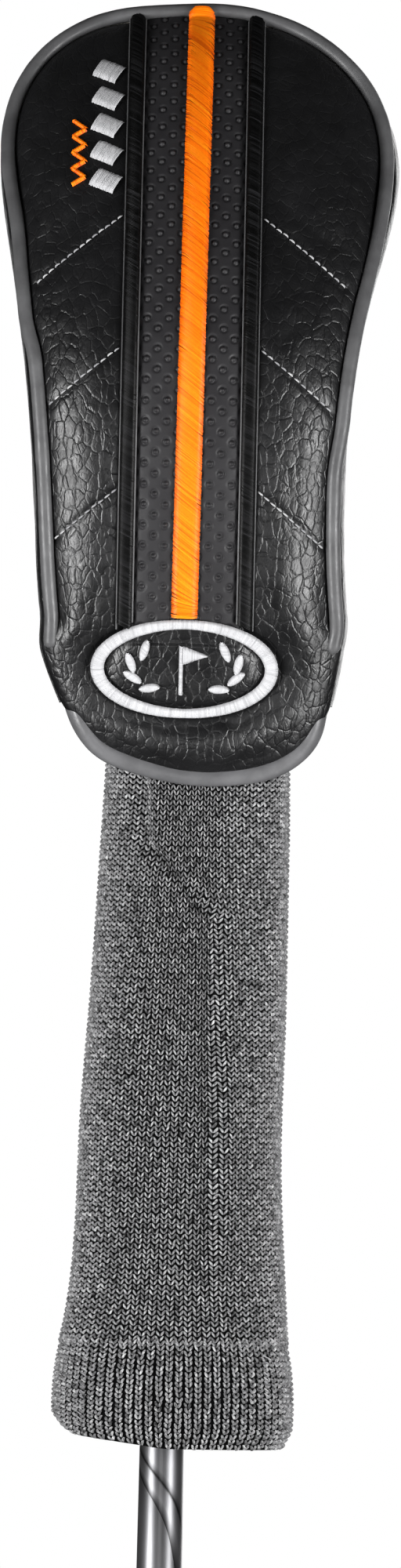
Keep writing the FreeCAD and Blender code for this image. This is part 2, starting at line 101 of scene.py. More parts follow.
hem_low, hem_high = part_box("hem_binding")
ring_low, ring_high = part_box("badge_ring")
cord_low, cord_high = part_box("piping_front")
sock_low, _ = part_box("knit_sock")
cuff_low, cuff_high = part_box("sock_cuff")

cover_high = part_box("gusset")[1]
cover_x, _ = middle_and_half("gusset")
cover_z = 1.000
CORD = 1.8 * MM
strip_x, strip_half = middle_and_half("dimple_strip")
BAND = 3.4 * MM
ring_x, ring_half_x = middle_and_half("badge_ring")
ring_z = (ring_low.z + ring_high.z) / 2
ring_half_z = (ring_high.z - ring_low.z) / 2


def panel_surface(names, side):
    """Y of the front (side -1) or back (side +1) of the cover as a function of X and Z."""
    tree = tree_of(*names)
    way = Vector((0, -side, 0))
    rows = np.linspace(hem_low.z + 0.5 * MM, cover_high.z - 5 * MM, 64)

    def column(x):
        """Heights and Y where a column of rays meets the panel."""
        hits = [(z, tree.ray_cast(Vector((x, side * 0.3, z)), way)[0]) for z in rows]
        return np.array([(z, hit.y) for z, hit in hits if hit]).T
    heights, found = column(cover_x)
    series = np.polynomial.Chebyshev.fit(heights, found, 11)

    def line(z):
        return series(np.clip(z, heights[0], heights[-1]))
    off = 30 * MM
    bends = []
    for x in (cover_x - off, cover_x + off):
        z_side, y_side = column(x)
        bends += list(side * (line(z_side) - y_side))
    sag = float(np.median(bends))
    radius = (off**2 + sag**2) / (2 * sag)
    slope_top = (line(heights[-1]) - line(heights[-1] - 4 * MM)) / (4 * MM)

    def surface(x, z):
        y = line(z) + slope_top * np.maximum(z - heights[-1], 0)
        return y - side * (radius - np.sqrt(np.maximum(radius**2 - (x - cover_x)**2, 0)))
    return surface


front = panel_surface(["front_panel", "dimple_strip", "hem_binding"], -1)
back = panel_surface(["back_panel", "hem_binding"], 1)


def smooth_curve(points, count=12):
    """A smooth open curve through a few points."""
    p = np.asarray(points, float)
    p = np.concatenate([[2 * p[0] - p[1]], p, [2 * p[-1] - p[-2]]])
    t = np.linspace(0, 1, count, endpoint=False)[:, None]
    spans = [0.5 * (2 * b + (c - a) * t + (2 * a - 5 * b + 4 * c - d) * t**2
                    + (3 * b - a - 3 * c + d) * t**3)
             for a, b, c, d in zip(p, p[1:], p[2:], p[3:])]
    return np.concatenate(spans + [p[-2:-1]])


# The cover's lower edge seen from the front, X and Z in millimetres.
HEM_EDGE = [(-36.0, 946.0), (-31.8, 934.0), (-26.0, 921.8), (-19.3, 914.7), (-7.4, 910.4),
            (5.8, 908.4), (19.7, 909.5), (28.6, 912.8), (35.4, 919.5), (38.9, 931.0), (41.4, 946.0)]


def outline_radius():
    """The cover's outline seen from the front, as the distance from its middle at each angle."""
    tree = tree_of("gusset")
    x, z = (smooth_curve(HEM_EDGE) * MM - (cover_x, cover_z)).T
    angles = np.linspace(0, 2 * np.pi, 361)[:-1]
    reach = np.interp((angles + np.pi) % (2 * np.pi) - np.pi, np.arctan2(z, x), np.hypot(x, z))
    upper_y, lower_y, least_reach = 0.040, 0.007, 0.03
    for k, angle in enumerate(angles):
        way = Vector((math.cos(angle), 0, math.sin(angle)))
        centre = Vector((cover_x, upper_y if way.z > 0 else lower_y, cover_z))
        hit = tree.ray_cast(centre + way * 0.3, -way)[0]
        if hit and hit.z > HEM_EDGE[-1][1] * MM and (hit - centre).dot(way) > least_reach:
            reach[k] = (hit - centre).length
    for _ in range(3):
        reach = (np.roll(reach, 1) + 2 * reach + np.roll(reach, -1)) / 4
    return np.append(angles, 2 * np.pi), np.append(reach, reach[0])


outline_angles, outline_reach = outline_radius()


def outline(angle, inset=0.0):
    """X and Z on the outline at an angle, moved inwards."""
    angle = np.asarray(angle, float) % (2 * np.pi)
    turn = np.pi / 360

    def point(a):
        r = np.interp(a % (2 * np.pi), outline_angles, outline_reach)
        return cover_x + r * np.cos(a), cover_z + r * np.sin(a)
    x, z = point(angle)
    x1, z1 = point(angle + turn)
    x0, z0 = point(angle - turn)
    length = np.hypot(x1 - x0, z1 - z0)
    return x - inset * (z1 - z0) / length, z + inset * (x1 - x0) / length


def angles_above(height, inset, fine, count):
    """Evenly spread angles of the part of the outline above a height."""
    angles = np.linspace(-np.pi / 2, 1.5 * np.pi, fine)
    inside = angles[outline(angles, inset)[1] >= height]
    return np.linspace(inside[0], inside[-1], count)


def fade(value, start, end):
    """0 at the start and 1 at the end, smoothly."""
    t = np.clip((value - start) / (end - start), 0, 1)
    return t * t * (3 - 2 * t)


def slack(angle):
    """How far the cord lies inside the outline, where the side of the cover bulges past it."""
    x, z = outline(angle)
    left_bulge, right_bulge = 1.048, 1.060
    left = 1.1 * ridge(z - left_bulge, 14 * MM) + 1.2 * fade(z, 1.024, 1.012)
    right = 1.5 * ridge(z - right_bulge, 17 * MM) + 1.1 * fade(z, 1.000, 0.985)
    return np.where(x < cover_x, left, right) * MM * fade(z, cord_low.z - 6 * MM, cord_low.z)


def seam_inset(angle):
    """How far inside the outline a panel is sewn: behind the cord, or behind the hem."""
    _, z = outline(angle)
    hem_starts, hem_full = 0.929, 0.918
    beside = (1.55 * CORD + slack(angle)) * fade(z, cord_low.z + 1 * MM, cord_low.z + 8 * MM)
    return beside + 2.6 * MM * fade(z, hem_starts, hem_full)


def ridge(distance, width):
    """A smooth bell, 1 on the line and fading over the width."""
    return np.exp(-(distance / width)**2)


def sides_at(z, inset):
    """Left and right X at a height of the outline moved inwards by a function of the angle."""
    angles = np.linspace(-np.pi / 2, 1.5 * np.pi, 1441)
    x, heights = outline(angles, inset(angles))
    sides = []
    for chosen in (angles > np.pi / 2, angles <= np.pi / 2):
        order = np.argsort(heights[chosen])
        sides.append(np.interp(z, heights[chosen][order], x[chosen][order]))
    return sides


# ---- mesh helpers
def new_piece(name, points, faces, material, node=None):
    """A smooth mesh object, which takes the place of a CAD node if one is named."""
    mesh = bpy.data.meshes.new(name)
    mesh.from_pydata(np.reshape(points, (-1, 3)), [], faces, shade_flat=False)
    mesh.validate()
    mesh.materials.append(material)
    piece = bpy.data.objects.new(name, mesh)
    scene.collection.objects.link(piece)
    if node:
        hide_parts(node)
    return piece


def grid_faces(rows, columns, closed_columns=False, closed_rows=False, flip=False):
    """Quads over a grid of points stored row by row."""
    r = np.arange(rows if closed_rows else rows - 1)
    c = np.arange(columns if closed_columns else columns - 1)
    r, c = np.meshgrid(r, c, indexing="ij")
    r1 = (r + 1) % rows
    c1 = (c + 1) % columns
    quads = np.stack([r * columns + c, r * columns + c1, r1 * columns + c1, r1 * columns + c], -1)
    quads = quads.reshape(-1, 4)
    return quads[:, ::-1] if flip else quads


def unit(vectors):
    return vectors / np.linalg.norm(vectors, axis=-1, keepdims=True)


def normals_of(points):
    """Unit normals of a grid of points, rows by columns by 3."""
    return unit(np.cross(np.gradient(points, axis=1), np.gradient(points, axis=0)))


def tube_mesh(path, radius, sides, up=(0, -1, 0)):
    """Points and faces of a tube along a path; radius may vary along it."""
    radius = np.broadcast_to(np.asarray(radius, float), (len(path),))
    tangent = unit(np.gradient(path, axis=0))
    side = unit(np.cross(tangent, np.array(up, float)))
    lift = np.cross(side, tangent)
    angle = np.linspace(0, 2 * np.pi, sides, endpoint=False)[None, :, None]
    ring = side[:, None] * np.cos(angle) + lift[:, None] * np.sin(angle)
    points = path[:, None] + ring * radius[:, None, None]
    return points.reshape(-1, 3), grid_faces(len(path), sides, closed_columns=True, flip=True)


def slab(outer, inner):
    """A closed sheet between two grids of points."""
    rows, columns = outer.shape[:2]
    count = rows * columns
    index = np.arange(count).reshape(rows, columns)
    rim = np.concatenate([index[0, :-1], index[:-1, -1], index[-1, :0:-1], index[:0:-1, 0]])
    after = np.roll(rim, -1)
    walls = np.stack([rim, rim + count, after + count, after], -1)
    faces = np.concatenate([grid_faces(rows, columns), grid_faces(rows, columns, flip=True) + count, walls])
    return np.concatenate([outer.reshape(-1, 3), inner.reshape(-1, 3)]), faces


def joined(parts):
    """The points and faces of many parts as one."""
    starts = np.cumsum([0] + [len(part[0]) for part in parts])
    return (np.concatenate([part[0] for part in parts]),
            np.concatenate([part[1] + start for part, start in zip(parts, starts)]))


def length_along(x, z):
    """Length run at each point of a line."""
    return np.append(0, np.cumsum(np.hypot(np.diff(x), np.diff(z))))


def value_noise(points, size, seed):
    """Smooth noise between -1 and 1 at points, with features of about the given size."""
    p = np.asarray(points, float) / size
    base = np.floor(p).astype(np.int64)
    share = p - base
    share = share * share * (3 - 2 * share)
    total = np.zeros(p.shape[:-1])
    for corner in np.ndindex(2, 2, 2):
        key = base + np.array(corner)
        mixed = (key[..., 0] * 73856093) ^ (key[..., 1] * 19349663) ^ (key[..., 2] * 83492791)
        mixed = (mixed ^ (seed * 2654435761)) & 0x7FFFFFFF
        mixed = (mixed * 1103515245 + 12345) & 0x7FFFFFFF
        mixed = ((mixed >> 8) ^ mixed) * 48271 & 0x7FFFFFFF
        weight = np.prod(np.where(corner, share, 1 - share), axis=-1)
        total += weight * (mixed / 0x3FFFFFFF - 1)
    return total


def pebble(points, size, seed):
    """Leather grain, a little taller than wide: 0 in the creases, rising to 1 on the cells."""
    flat = points.reshape(-1, 3) * np.array((1, 1, 0.85))
    low = flat.min(0) - size
    shape = np.ceil((flat.max(0) + size - low) / size).astype(int)
    cells = np.indices(shape).reshape(3, -1).T
    seeds = low + (cells + np.random.default_rng(seed).random(cells.shape)) * size
    near = np.zeros(shape, bool)
    index = np.clip(((flat - low) / size).astype(int), 0, shape - 1)
    for step in np.ndindex(3, 3, 3):
        near[tuple(np.clip(index + np.array(step) - 1, 0, shape - 1).T)] = True
    seeds = seeds[near.reshape(-1)]
    tree = KDTree(len(seeds))
    for k, place in enumerate(seeds):
        tree.insert(place, k)
    tree.balance()
    edge = np.empty(len(flat))
    for k, place in enumerate(flat):
        (_, _, nearest), (_, _, second) = tree.find_n(place, 2)
        edge[k] = second - nearest
    return np.clip(edge.reshape(points.shape[:-1]) / (0.35 * size), 0, 1)**0.7


# ---- materials
class Paint:
    """A procedural material being put together."""

    def __init__(self, name, colour, roughness, metal=0.0, coat=0.0, sheen=0.0, specular=0.5):
        self.material = bpy.data.materials.new(name)
        self.material.use_nodes = True
        self.tree = self.material.node_tree
        self.shader = self.tree.nodes["Principled BSDF"]
        self.feed(self.shader, {"Base Color": (*colour, 1), "Roughness": roughness, "Metallic": metal,
                                "Coat Weight": coat, "Coat Roughness": 0.08, "Sheen Weight": sheen,
                                "Specular IOR Level": specular})
        self.material.diffuse_color = (*colour, 1)
        self.place = self.node("TexCoord").outputs["Object"]

    def feed(self, node, inputs):
        """Gives each named input a value, or the output of another node."""
        for socket, source in inputs.items():
            if isinstance(source, bpy.types.NodeSocket):
                self.tree.links.new(source, node.inputs[socket])
            else:
                node.inputs[socket].default_value = source

    def node(self, kind, inputs=None, **settings):
        made = self.tree.nodes.new("ShaderNode" + kind)
        for key, value in settings.items():
            setattr(made, key, value)
        self.feed(made, inputs or {})
        return made

    def stretched(self, x, y, z):
        return self.node("Mapping", {"Scale": (x, y, z), "Vector": self.place}).outputs[0]

    def noise(self, scale, detail=3.0, place=None):
        return self.node("TexNoise", {"Scale": scale, "Detail": detail, "Roughness": 0.55,
                                      "Vector": place or self.place}).outputs["Fac"]

    def cells(self, scale, feature="DISTANCE_TO_EDGE", place=None):
        inputs = {"Scale": scale, "Vector": place or self.place}
        return self.node("TexVoronoi", inputs, feature=feature).outputs["Distance"]

    def ramp(self, source, *stops):
        made = self.node("ValToRGB", {"Fac": source})
        while len(made.color_ramp.elements) < len(stops):
            made.color_ramp.elements.new(0.5)
        for element, (position, colour) in zip(made.color_ramp.elements, stops):
            element.position = position
            element.color = (*colour, 1)
        return made.outputs["Color"]

    def grey_ramp(self, source, low, high, start=0.0, end=1.0):
        return self.ramp(source, (start, (low,) * 3), (end, (high,) * 3))

    def math(self, operation, a, b):
        return self.node("Math", {0: a, 1: b}, operation=operation).outputs[0]

    def mix(self, share, a, b, blend="MIX"):
        colours = {6: a, 7: b}
        for socket, colour in colours.items():
            if isinstance(colour, tuple):
                colours[socket] = (*colour, 1)
        made = self.node("Mix", data_type="RGBA", blend_type=blend)
        self.feed(made, {0: share, **colours})
        return made.outputs[2]

    def attribute(self, name):
        return self.node("Attribute", attribute_name=name).outputs["Fac"]

    def colour(self, source):
        self.feed(self.shader, {"Base Color": source})

    def rough(self, source):
        self.feed(self.shader, {"Roughness": source})

    def mottled(self, scale, detail, *stops):
        """Colour that drifts between the stops."""
        self.colour(self.ramp(self.noise(scale, detail), *stops))

    def scuffed(self, scale, detail, low, high, place=None):
        """Roughness that drifts between two values."""
        self.rough(self.grey_ramp(self.noise(scale, detail, place), low, high, 0.3, 0.7))

    def bumped(self, source, depth, strength=1.0):
        """Adds bump of a given depth in metres on top of what is there already."""
        made = self.node("Bump", {"Strength": strength, "Distance": depth, "Height": source})
        for link in self.shader.inputs["Normal"].links:
            self.tree.links.new(link.from_socket, made.inputs["Normal"])
        self.feed(self.shader, {"Normal": made.outputs["Normal"]})


def leather_paint(name, colour, light):
    """Pebbled synthetic leather, a little worn, its tone drifting lighter in broad random patches."""
    p = Paint(name, colour, 0.34, specular=0.6)
    cloud = p.node("TexNoise", {"Scale": 300, "Vector": p.place}).outputs["Color"]
    wander = p.node("VectorMath", {0: cloud, "Scale": 1.3 * MM}, operation="SCALE").outputs[0]
    bent = p.node("VectorMath", {0: p.stretched(1, 1, 0.6), 1: wander}, operation="ADD").outputs[0]
    p.mottled(60, 4, (0.35, colour), (0.75, light))
    p.scuffed(220, 5, 0.30, 0.46)
    p.bumped(p.grey_ramp(p.cells(400, place=bent), 0, 1, 0.0, 0.09), 0.00007, 0.9)
    p.bumped(p.grey_ramp(p.cells(400, "F1", bent), 1, 0, 0.0, 0.8), 0.00010, 0.9)
    p.bumped(p.grey_ramp(p.cells(900, place=bent), 0, 1, 0.0, 0.18), 0.00003, 0.7)
    p.bumped(p.noise(2600, 3), 0.00002, 0.4)
    return p.material


def strip_paint():
    p = Paint("dimpled_strip_leather", (0.026, 0.025, 0.027), 0.5, specular=0.38)
    p.mottled(90, 4, (0.3, (0.021, 0.020, 0.022)), (0.75, (0.032, 0.031, 0.033)))
    p.scuffed(400, 4, 0.46, 0.64)
    p.bumped(p.cells(1500), 0.00003, 0.5)
    p.bumped(p.noise(3500, 2), 0.00003, 0.5)
    return p.material


def piping_paint(name, dark, light):
    """Smooth grey vinyl, scuffed, with faint cross wrinkles."""
    p = Paint(name, light, 0.42, specular=0.5)
    p.mottled(120, 5, (0.3, dark), (0.72, light))
    p.scuffed(300, 4, 0.34, 0.55)
    p.bumped(p.cells(620), 0.00006, 0.5)
    p.bumped(p.noise(900, 4), 0.00008, 0.5)
    return p.material


def satin_paint(name, edge, body, light, shine=0.45):
    """Satin stitch: the tone of each thread and the way across it come from the mesh, the tone falling
    towards the edge colour at each thread's ends as painted shade where they dip into the leather.
    """
    p = Paint(name, body, 0.42, specular=shine)
    tone = p.ramp(p.attribute("tone"), (0.0, edge), (0.45, body), (1.0, light))
    p.colour(p.mix(p.math("MULTIPLY", p.noise(1800, 2), 0.35), tone, edge))
    p.bumped(p.noise(5200, 2), 0.00003, 0.4)
    return p.material


def knit_paint():
    """Heathered yarn: dark and pale fibres lie along each leg of each stitch."""
    p = Paint("heather_knit_yarn", (0.11, 0.11, 0.115), 0.8, sheen=0.05, specular=0.2)
    fibre = p.math("ADD", p.math("MULTIPLY", p.attribute("tone"), 0.6),
                   p.math("MULTIPLY", p.noise(1700, 3, place=p.stretched(1, 1, 0.5)), 0.5))
    p.colour(p.ramp(fibre, (0.22, (0.006, 0.006, 0.0065)), (0.38, (0.085, 0.085, 0.087)),
                    (0.58, (0.25, 0.25, 0.254)), (0.85, (0.58, 0.58, 0.585))))
    p.bumped(p.noise(4200, 3), 0.00012, 0.6)
    return p.material


# Dark cloth; also the near-black painted shade in the gaps of the knit.
def dark_cloth_and_shade_paint(name, colour, sheen=0.3):
    p = Paint(name, colour, 0.9, sheen=sheen, specular=0.1)
    p.colour(p.mix(p.noise(1500, 3), colour, tuple(c * 0.35 for c in colour)))
    p.bumped(p.noise(2500, 3), 0.0002, 0.8)
    return p.material


def shaft_paint():
    """Clear-coated metallic grey graphite with dark lines that curl round the tube."""
    p = Paint("metallic_graphite", (0.30, 0.30, 0.31), 0.40, metal=0.85, coat=0.08)
    x, y, z = p.node("SeparateXYZ", {0: p.place}).outputs
    turn = p.math("DIVIDE", p.math("ARCTAN2", y, x), 2 * math.pi)
    climb = p.math("MULTIPLY", z, 17.0)
    wave = p.math("MULTIPLY", p.math("SINE", p.math("MULTIPLY", z, 110.0), 0), 0.10)
    line = p.math("FRACT", p.math("ADD", p.math("ADD", turn, climb), wave), 0)
    smoke = p.noise(60, 3, place=p.stretched(1, 1, 0.25))
    body = p.ramp(smoke, (0.3, (0.10, 0.10, 0.105)), (0.7, (0.24, 0.24, 0.245)))
    shade = p.ramp(line, (0.0, (0.02,) * 3), (0.025, (0.45,) * 3), (0.06, (1, 1, 1)),
                   (0.14, (0.75,) * 3), (0.16, (0.03,) * 3), (0.18, (0.5,) * 3), (0.22, (1, 1, 1)),
                   (0.80, (1, 1, 1)), (1.0, (0.55,) * 3))
    p.colour(p.mix(1.0, body, shade, "MULTIPLY"))
    p.bumped(p.noise(3000, 2), 0.00001, 0.3)
    return p.material


def grip_paint():
    """Rubber with rows of small round pits."""
    p = Paint("grip_rubber", (0.022, 0.022, 0.024), 0.72, specular=0.3)
    p.mottled(200, 4, (0.3, (0.016,) * 3), (0.75, (0.034,) * 3))
    p.bumped(p.grey_ramp(p.cells(420, "F1", p.stretched(1, 1, 0.7)), 0, 1, 0.15, 0.4), 0.0004, 0.9)
    p.bumped(p.noise(2500, 3), 0.00008, 0.6)
    return p.material


def metal_paint(name, colour, roughness, grain=(1, 1, 1)):
    """Brushed or blasted metal with fine grain and slight staining."""
    p = Paint(name, colour, roughness, metal=1.0)
    p.colour(p.mix(p.noise(70, 4), colour, tuple(c * 0.72 for c in colour)))
    p.scuffed(500, 4, roughness * 0.75, min(roughness * 1.4, 1), p.stretched(*grain))
    p.bumped(p.noise(1800, 3, p.stretched(*grain)), 0.00003, 0.6)
    return p.material


def carbon_paint():
    """Clear-coated woven carbon."""
    p = Paint("woven_carbon", (0.012, 0.012, 0.014), 0.35, coat=1.0)
    weave = p.node("TexChecker", {"Scale": 520, "Vector": p.place}).outputs["Fac"]
    p.colour(p.mix(weave, (0.010, 0.010, 0.012), (0.040, 0.040, 0.044)))
    p.rough(p.grey_ramp(weave, 0.30, 0.48))
    return p.material


def plastic_paint(name, colour, roughness):
    p = Paint(name, colour, roughness)
    p.scuffed(300, 3, roughness * 0.8, min(1, roughness * 1.3))
    p.bumped(p.noise(1500, 2), 0.00001, 0.4)
    return p.material


def foam_paint():
    p = Paint("open_cell_foam", (0.62, 0.60, 0.54), 0.95, specular=0.1)
    p.colour(p.mix(p.noise(900, 3), (0.66, 0.64, 0.58), (0.42, 0.40, 0.35)))
    p.bumped(p.cells(2200, "F1"), 0.0004, 0.9)
    return p.material


black_leather = leather_paint("pebbled_black_leather", (0.0065, 0.0065, 0.007), (0.012, 0.012, 0.013))
grey_piping = piping_paint("grey_piping_vinyl", (0.085, 0.085, 0.087), (0.140, 0.140, 0.143))
grey_hem = piping_paint("grey_hem_vinyl", (0.095, 0.095, 0.098), (0.150, 0.150, 0.155))
orange_satin = satin_paint("orange_satin", (0.50, 0.06, 0.001), (0.97, 0.235, 0.002), (1.0, 0.38, 0.012), 0.3)
white_satin = satin_paint("white_satin", (0.34, 0.34, 0.35), (0.485, 0.485, 0.495), (0.61, 0.61, 0.62), 0.2)
# Black satin: its pale top tone paints glints on the brighter threads, a painted highlight over the random
# tone of each thread.
black_satin = satin_paint("black_satin", (0.001,) * 3, (0.002,) * 3, (0.030, 0.030, 0.032), 0.22)
pale_thread = satin_paint("pale_lock_stitch", (0.16, 0.16, 0.17), (0.32, 0.32, 0.33), (0.55, 0.55, 0.55), 0.3)
knit_yarn = knit_paint()
# Near-black ground under the stitches of the knit: painted shade in the gaps between the legs.
painted_shade_ground = dark_cloth_and_shade_paint("knit_gap_painted_shade", (0.004, 0.004, 0.0042), 0.0)


# ---- leather panels
def lifted(surface, x, z, height, side=-1):
    """Points a height off a panel surface, measured along its normal."""
    e = 0.3 * MM
    y = surface(x, z)
    dx = (surface(x + e, z) - surface(x - e, z)) / (2 * e)
    dz = (surface(x, z + e) - surface(x, z - e)) / (2 * e)
    n = unit(np.stack([-dx, np.ones_like(y), -dz], -1) * side)
    return np.stack([x, y, z], -1) + n * np.asarray(height)[..., None]


# Where the rows of stitching start and end in X, on the left and on the right.
ROWS = [(-16.0 * MM, (-37.0 * MM, -33.6 * MM, -31.6 * MM)), (18.6 * MM, (39.2 * MM, 36.4 * MM, 35.2 * MM))]
ROW_HEIGHTS = (1.0498, 1.0168, 0.9820)
ROW_FALL = 0.84


def stitch_lines():
    """Start and end (x, z) of each row of stitching."""
    return [((start, high), (end, high - ROW_FALL * abs(end - start)))
            for start, ends in ROWS for high, end in zip(ROW_HEIGHTS, ends)]


def distance_to_segment(x, z, a, b):
    ax, az = a
    dx, dz = b[0] - a[0], b[1] - a[1]
    t = np.clip(((x - ax) * dx + (z - az) * dz) / (dx * dx + dz * dz), 0, 1)
    return np.hypot(x - ax - t * dx, z - az - t * dz)


def ring_distance(x, z):
    """Roughly the distance outside the middle line of the oval badge."""
    a = ring_half_x - 1.75 * MM
    b = ring_half_z - 1.1 * MM
    return (np.hypot((x - ring_x) / a, (z - ring_z) / b) - 1) * np.minimum(a, b)


def panel_grid(columns, rows, inset):
    """X and Z over a whole panel, row by row from the hem to the top."""
    angles = np.linspace(-np.pi / 2, 1.5 * np.pi, 2881)
    _, z_all = outline(angles, inset(angles))
    low = z_all.min() + 0.15 * MM
    high = z_all.max() - 0.15 * MM
    v = np.linspace(0, 1, rows)
    z = low + (high - low) * (v - 0.10 * np.sin(2 * np.pi * v) / 2)
    left, right = sides_at(z, inset)
    x = left[:, None] + (right - left)[:, None] * np.linspace(0, 1, columns)
    return x, np.repeat(z[:, None], columns, 1)


def edge_distance(x, z):
    """Distance from the edge of a leather panel."""
    left, right = sides_at(z[:, 0], seam_inset)
    side = np.minimum(x - left[:, None], right[:, None] - x)
    r = np.hypot(x - cover_x, z - cover_z)
    angle = np.arctan2(z - cover_z, x - cover_x)
    ox, oz = outline(angle, seam_inset(angle))
    radial = np.hypot(ox - cover_x, oz - cover_z) - r
    return np.maximum(np.minimum(side, radial), 0)


def rounded(distance, width):
    """0 at an edge, 1 past the width, rising like a quarter circle."""
    t = np.clip(distance / width, 0, 1)
    return np.sqrt(1 - (1 - t)**2)


def leather_height(points, seed):
    """Wrinkles and grain of the pebbled leather."""
    tall = points * np.array((1, 1, 0.6))
    folds = 0.32 * MM * value_noise(tall, 12 * MM, seed) + 0.08 * MM * value_noise(tall, 4.5 * MM, seed + 1)
    return folds + GRAIN_DEPTH * (pebble(points, 2.9 * MM, seed + 2) - 1)


def cloth_puff(surface, side, x, z, sewn, most):
    """Blows up a sheet that is held where it is sewn; returns each point's rise, scaled."""
    flat = np.stack([x, surface(x, z), z], -1)
    sheet = new_piece("cloth_sheet", flat, grid_faces(*x.shape, flip=side > 0), black_leather)
    pins = sheet.vertex_groups.new(name="sewn")
    for k, weight in enumerate(sewn.ravel()):
        pins.add([k], float(weight), "REPLACE")
    cloth = sheet.modifiers.new("cloth", "CLOTH")
    settings = cloth.settings
    settings.vertex_group_mass = "sewn"
    settings.quality = 5
    settings.mass = 0.2
    settings.tension_stiffness = 12
    settings.compression_stiffness = 12
    settings.bending_stiffness = 0.4
    settings.use_pressure = True
    settings.uniform_pressure_force = 1200
    settings.effector_weights.gravity = 0
    cloth.point_cache.frame_start = 1
    cloth.point_cache.frame_end = CLOTH_FRAMES
    for frame_number in range(1, CLOTH_FRAMES + 1):
        scene.frame_set(frame_number)
    blown = sheet.evaluated_get(bpy.context.evaluated_depsgraph_get()).data
    found = np.empty(flat.size)
    blown.vertices.foreach_get("co", found)
    rise = -side * ((found.reshape(flat.shape) - flat) * normals_of(flat)).sum(-1)
    bpy.data.objects.remove(sheet)
    scene.frame_set(1)
    return np.clip(rise / np.percentile(rise, 99), -0.1, 1.0) * most


def bilinear(grid, row, column):
    """A grid's values at fractional rows and columns."""
    r = np.minimum(row.astype(int), grid.shape[0] - 2)
    c = np.minimum(column.astype(int), grid.shape[1] - 2)
    fr, fc = row - r, column - c
    return ((grid[r, c] * (1 - fc) + grid[r, c + 1] * fc) * (1 - fr)
            + (grid[r + 1, c] * (1 - fc) + grid[r + 1, c + 1] * fc) * fr)


def resampled(coarse, shape):
    """A coarse grid of values stretched over a finer grid of the given shape."""
    r, c = (np.linspace(0, coarse.shape[k] - 1, shape[k]) for k in (0, 1))
    return bilinear(coarse.T, c[None, :], r[:, None])


def softened(values, rounds):
    """A grid of values smoothed over its neighbours."""
    for _ in range(rounds):
        wide = np.pad(values, 1, mode="edge")
        values = (wide[:-2, 1:-1] + wide[2:, 1:-1] + wide[1:-1, :-2] + wide[1:-1, 2:] + 4 * values) / 8
    return values


def puffed(surface, side, coarse, seams, held, most, shape):
    """How far a panel bulges between its seams, simulated on a coarse sheet of columns by rows."""
    x, z = panel_grid(*coarse, seam_inset)
    rise = cloth_puff(surface, side, x, z, seams(x, z) < held, most)
    return softened(resampled(softened(rise, 1), shape), 3)


def band_distance(x):
    """Distance outside the satin bands that bound the middle strip."""
    return np.abs(x - strip_x) - strip_half - BAND


def fixed_seams(x, z):
    """Distance from the badge ring and the satin bands."""
    ring = np.abs(ring_distance(x, z)) - 1.2 * MM
    beside = np.where(z > ring_z + 6 * MM, band_distance(x), ring)
    return np.maximum(np.minimum(ring, beside), 0)


def front_seams(x, z):
    """Distance from the nearest place where the front leather is sewn down, inside its edge."""
    rows = np.min([distance_to_segment(x, z, a, b) - 0.3 * MM for a, b in stitch_lines()], axis=0)
    return np.maximum(np.minimum(fixed_seams(x, z), rows), 0)


def all_front_seams(x, z):
    return np.minimum(edge_distance(x, z), front_seams(x, z))


def front_leather():
    x, z = panel_grid(230, 460, seam_inset)
    edge = edge_distance(x, z)
    ring = ring_distance(x, z)
    seam = front_seams(x, z)
    puff = puffed(front, -1, (48, 92), all_front_seams, 1.3 * MM, 3.0 * MM, x.shape)
    puff = np.minimum(puff, 3.4 * MM * np.minimum(rounded(edge, 8 * MM), rounded(seam, 6 * MM)))
    shallow = 1.7 * MM * np.minimum(rounded(edge, 10 * MM), rounded(fixed_seams(x, z), 10 * MM))
    height = softened(np.maximum(puff, shallow), 2) - 0.9 * MM * (1 - rounded(edge, 5 * MM))
    for a, b in stitch_lines():
        height -= 0.35 * MM * ridge(distance_to_segment(x, z, a, b), 1.1 * MM)
    height -= 0.3 * MM * ridge(ring, 2.2 * MM)
    height = np.where(ring < 0, np.clip(height, 0.4 * MM, 0.9 * MM), height)
    leather_level.update(x=x, z=z[:, 0], height=softened(height, 4))
    height += leather_height(np.stack([x, front(x, z), z], -1), 11)
    under_strip = (z > ring_z) & (band_distance(x) < -0.6 * MM) & (ring > 0.5 * MM)
    height = np.where(under_strip, -1.0 * MM, height)
    return new_piece("front_panel_leather", lifted(front, x, z, height), grid_faces(*x.shape),
                     black_leather, "front_panel")


leather_level = {}


def leather_lift(x, z):
    """Height of the front leather above the panel surface at points."""
    rows = leather_level["z"]
    r = np.clip(np.interp(z, rows, np.arange(len(rows))), 0, len(rows) - 1.001)
    left = np.interp(z, rows, leather_level["x"][:, 0])
    right = np.interp(z, rows, leather_level["x"][:, -1])
    columns = leather_level["x"].shape[1]
    c = np.clip((x - left) / (right - left), 0, 0.999) * (columns - 1)
    return leather_level["height"][r.astype(int), c.astype(int)]


def back_leather():
    x, z = panel_grid(150, 300, seam_inset)
    edge = edge_distance(x, z)
    puff = puffed(back, 1, (36, 72), edge_distance, 1.5 * MM, 3.6 * MM, x.shape)
    puff = np.minimum(puff, 4 * MM * rounded(edge, 9 * MM))
    height = puff - 0.9 * MM * (1 - rounded(edge, 5 * MM))
    height += leather_height(np.stack([x, back(x, z), z], -1), 31)
    return new_piece("back_panel_leather", lifted(back, x, z, height, 1),
                     grid_faces(*x.shape, flip=True), black_leather, "back_panel")


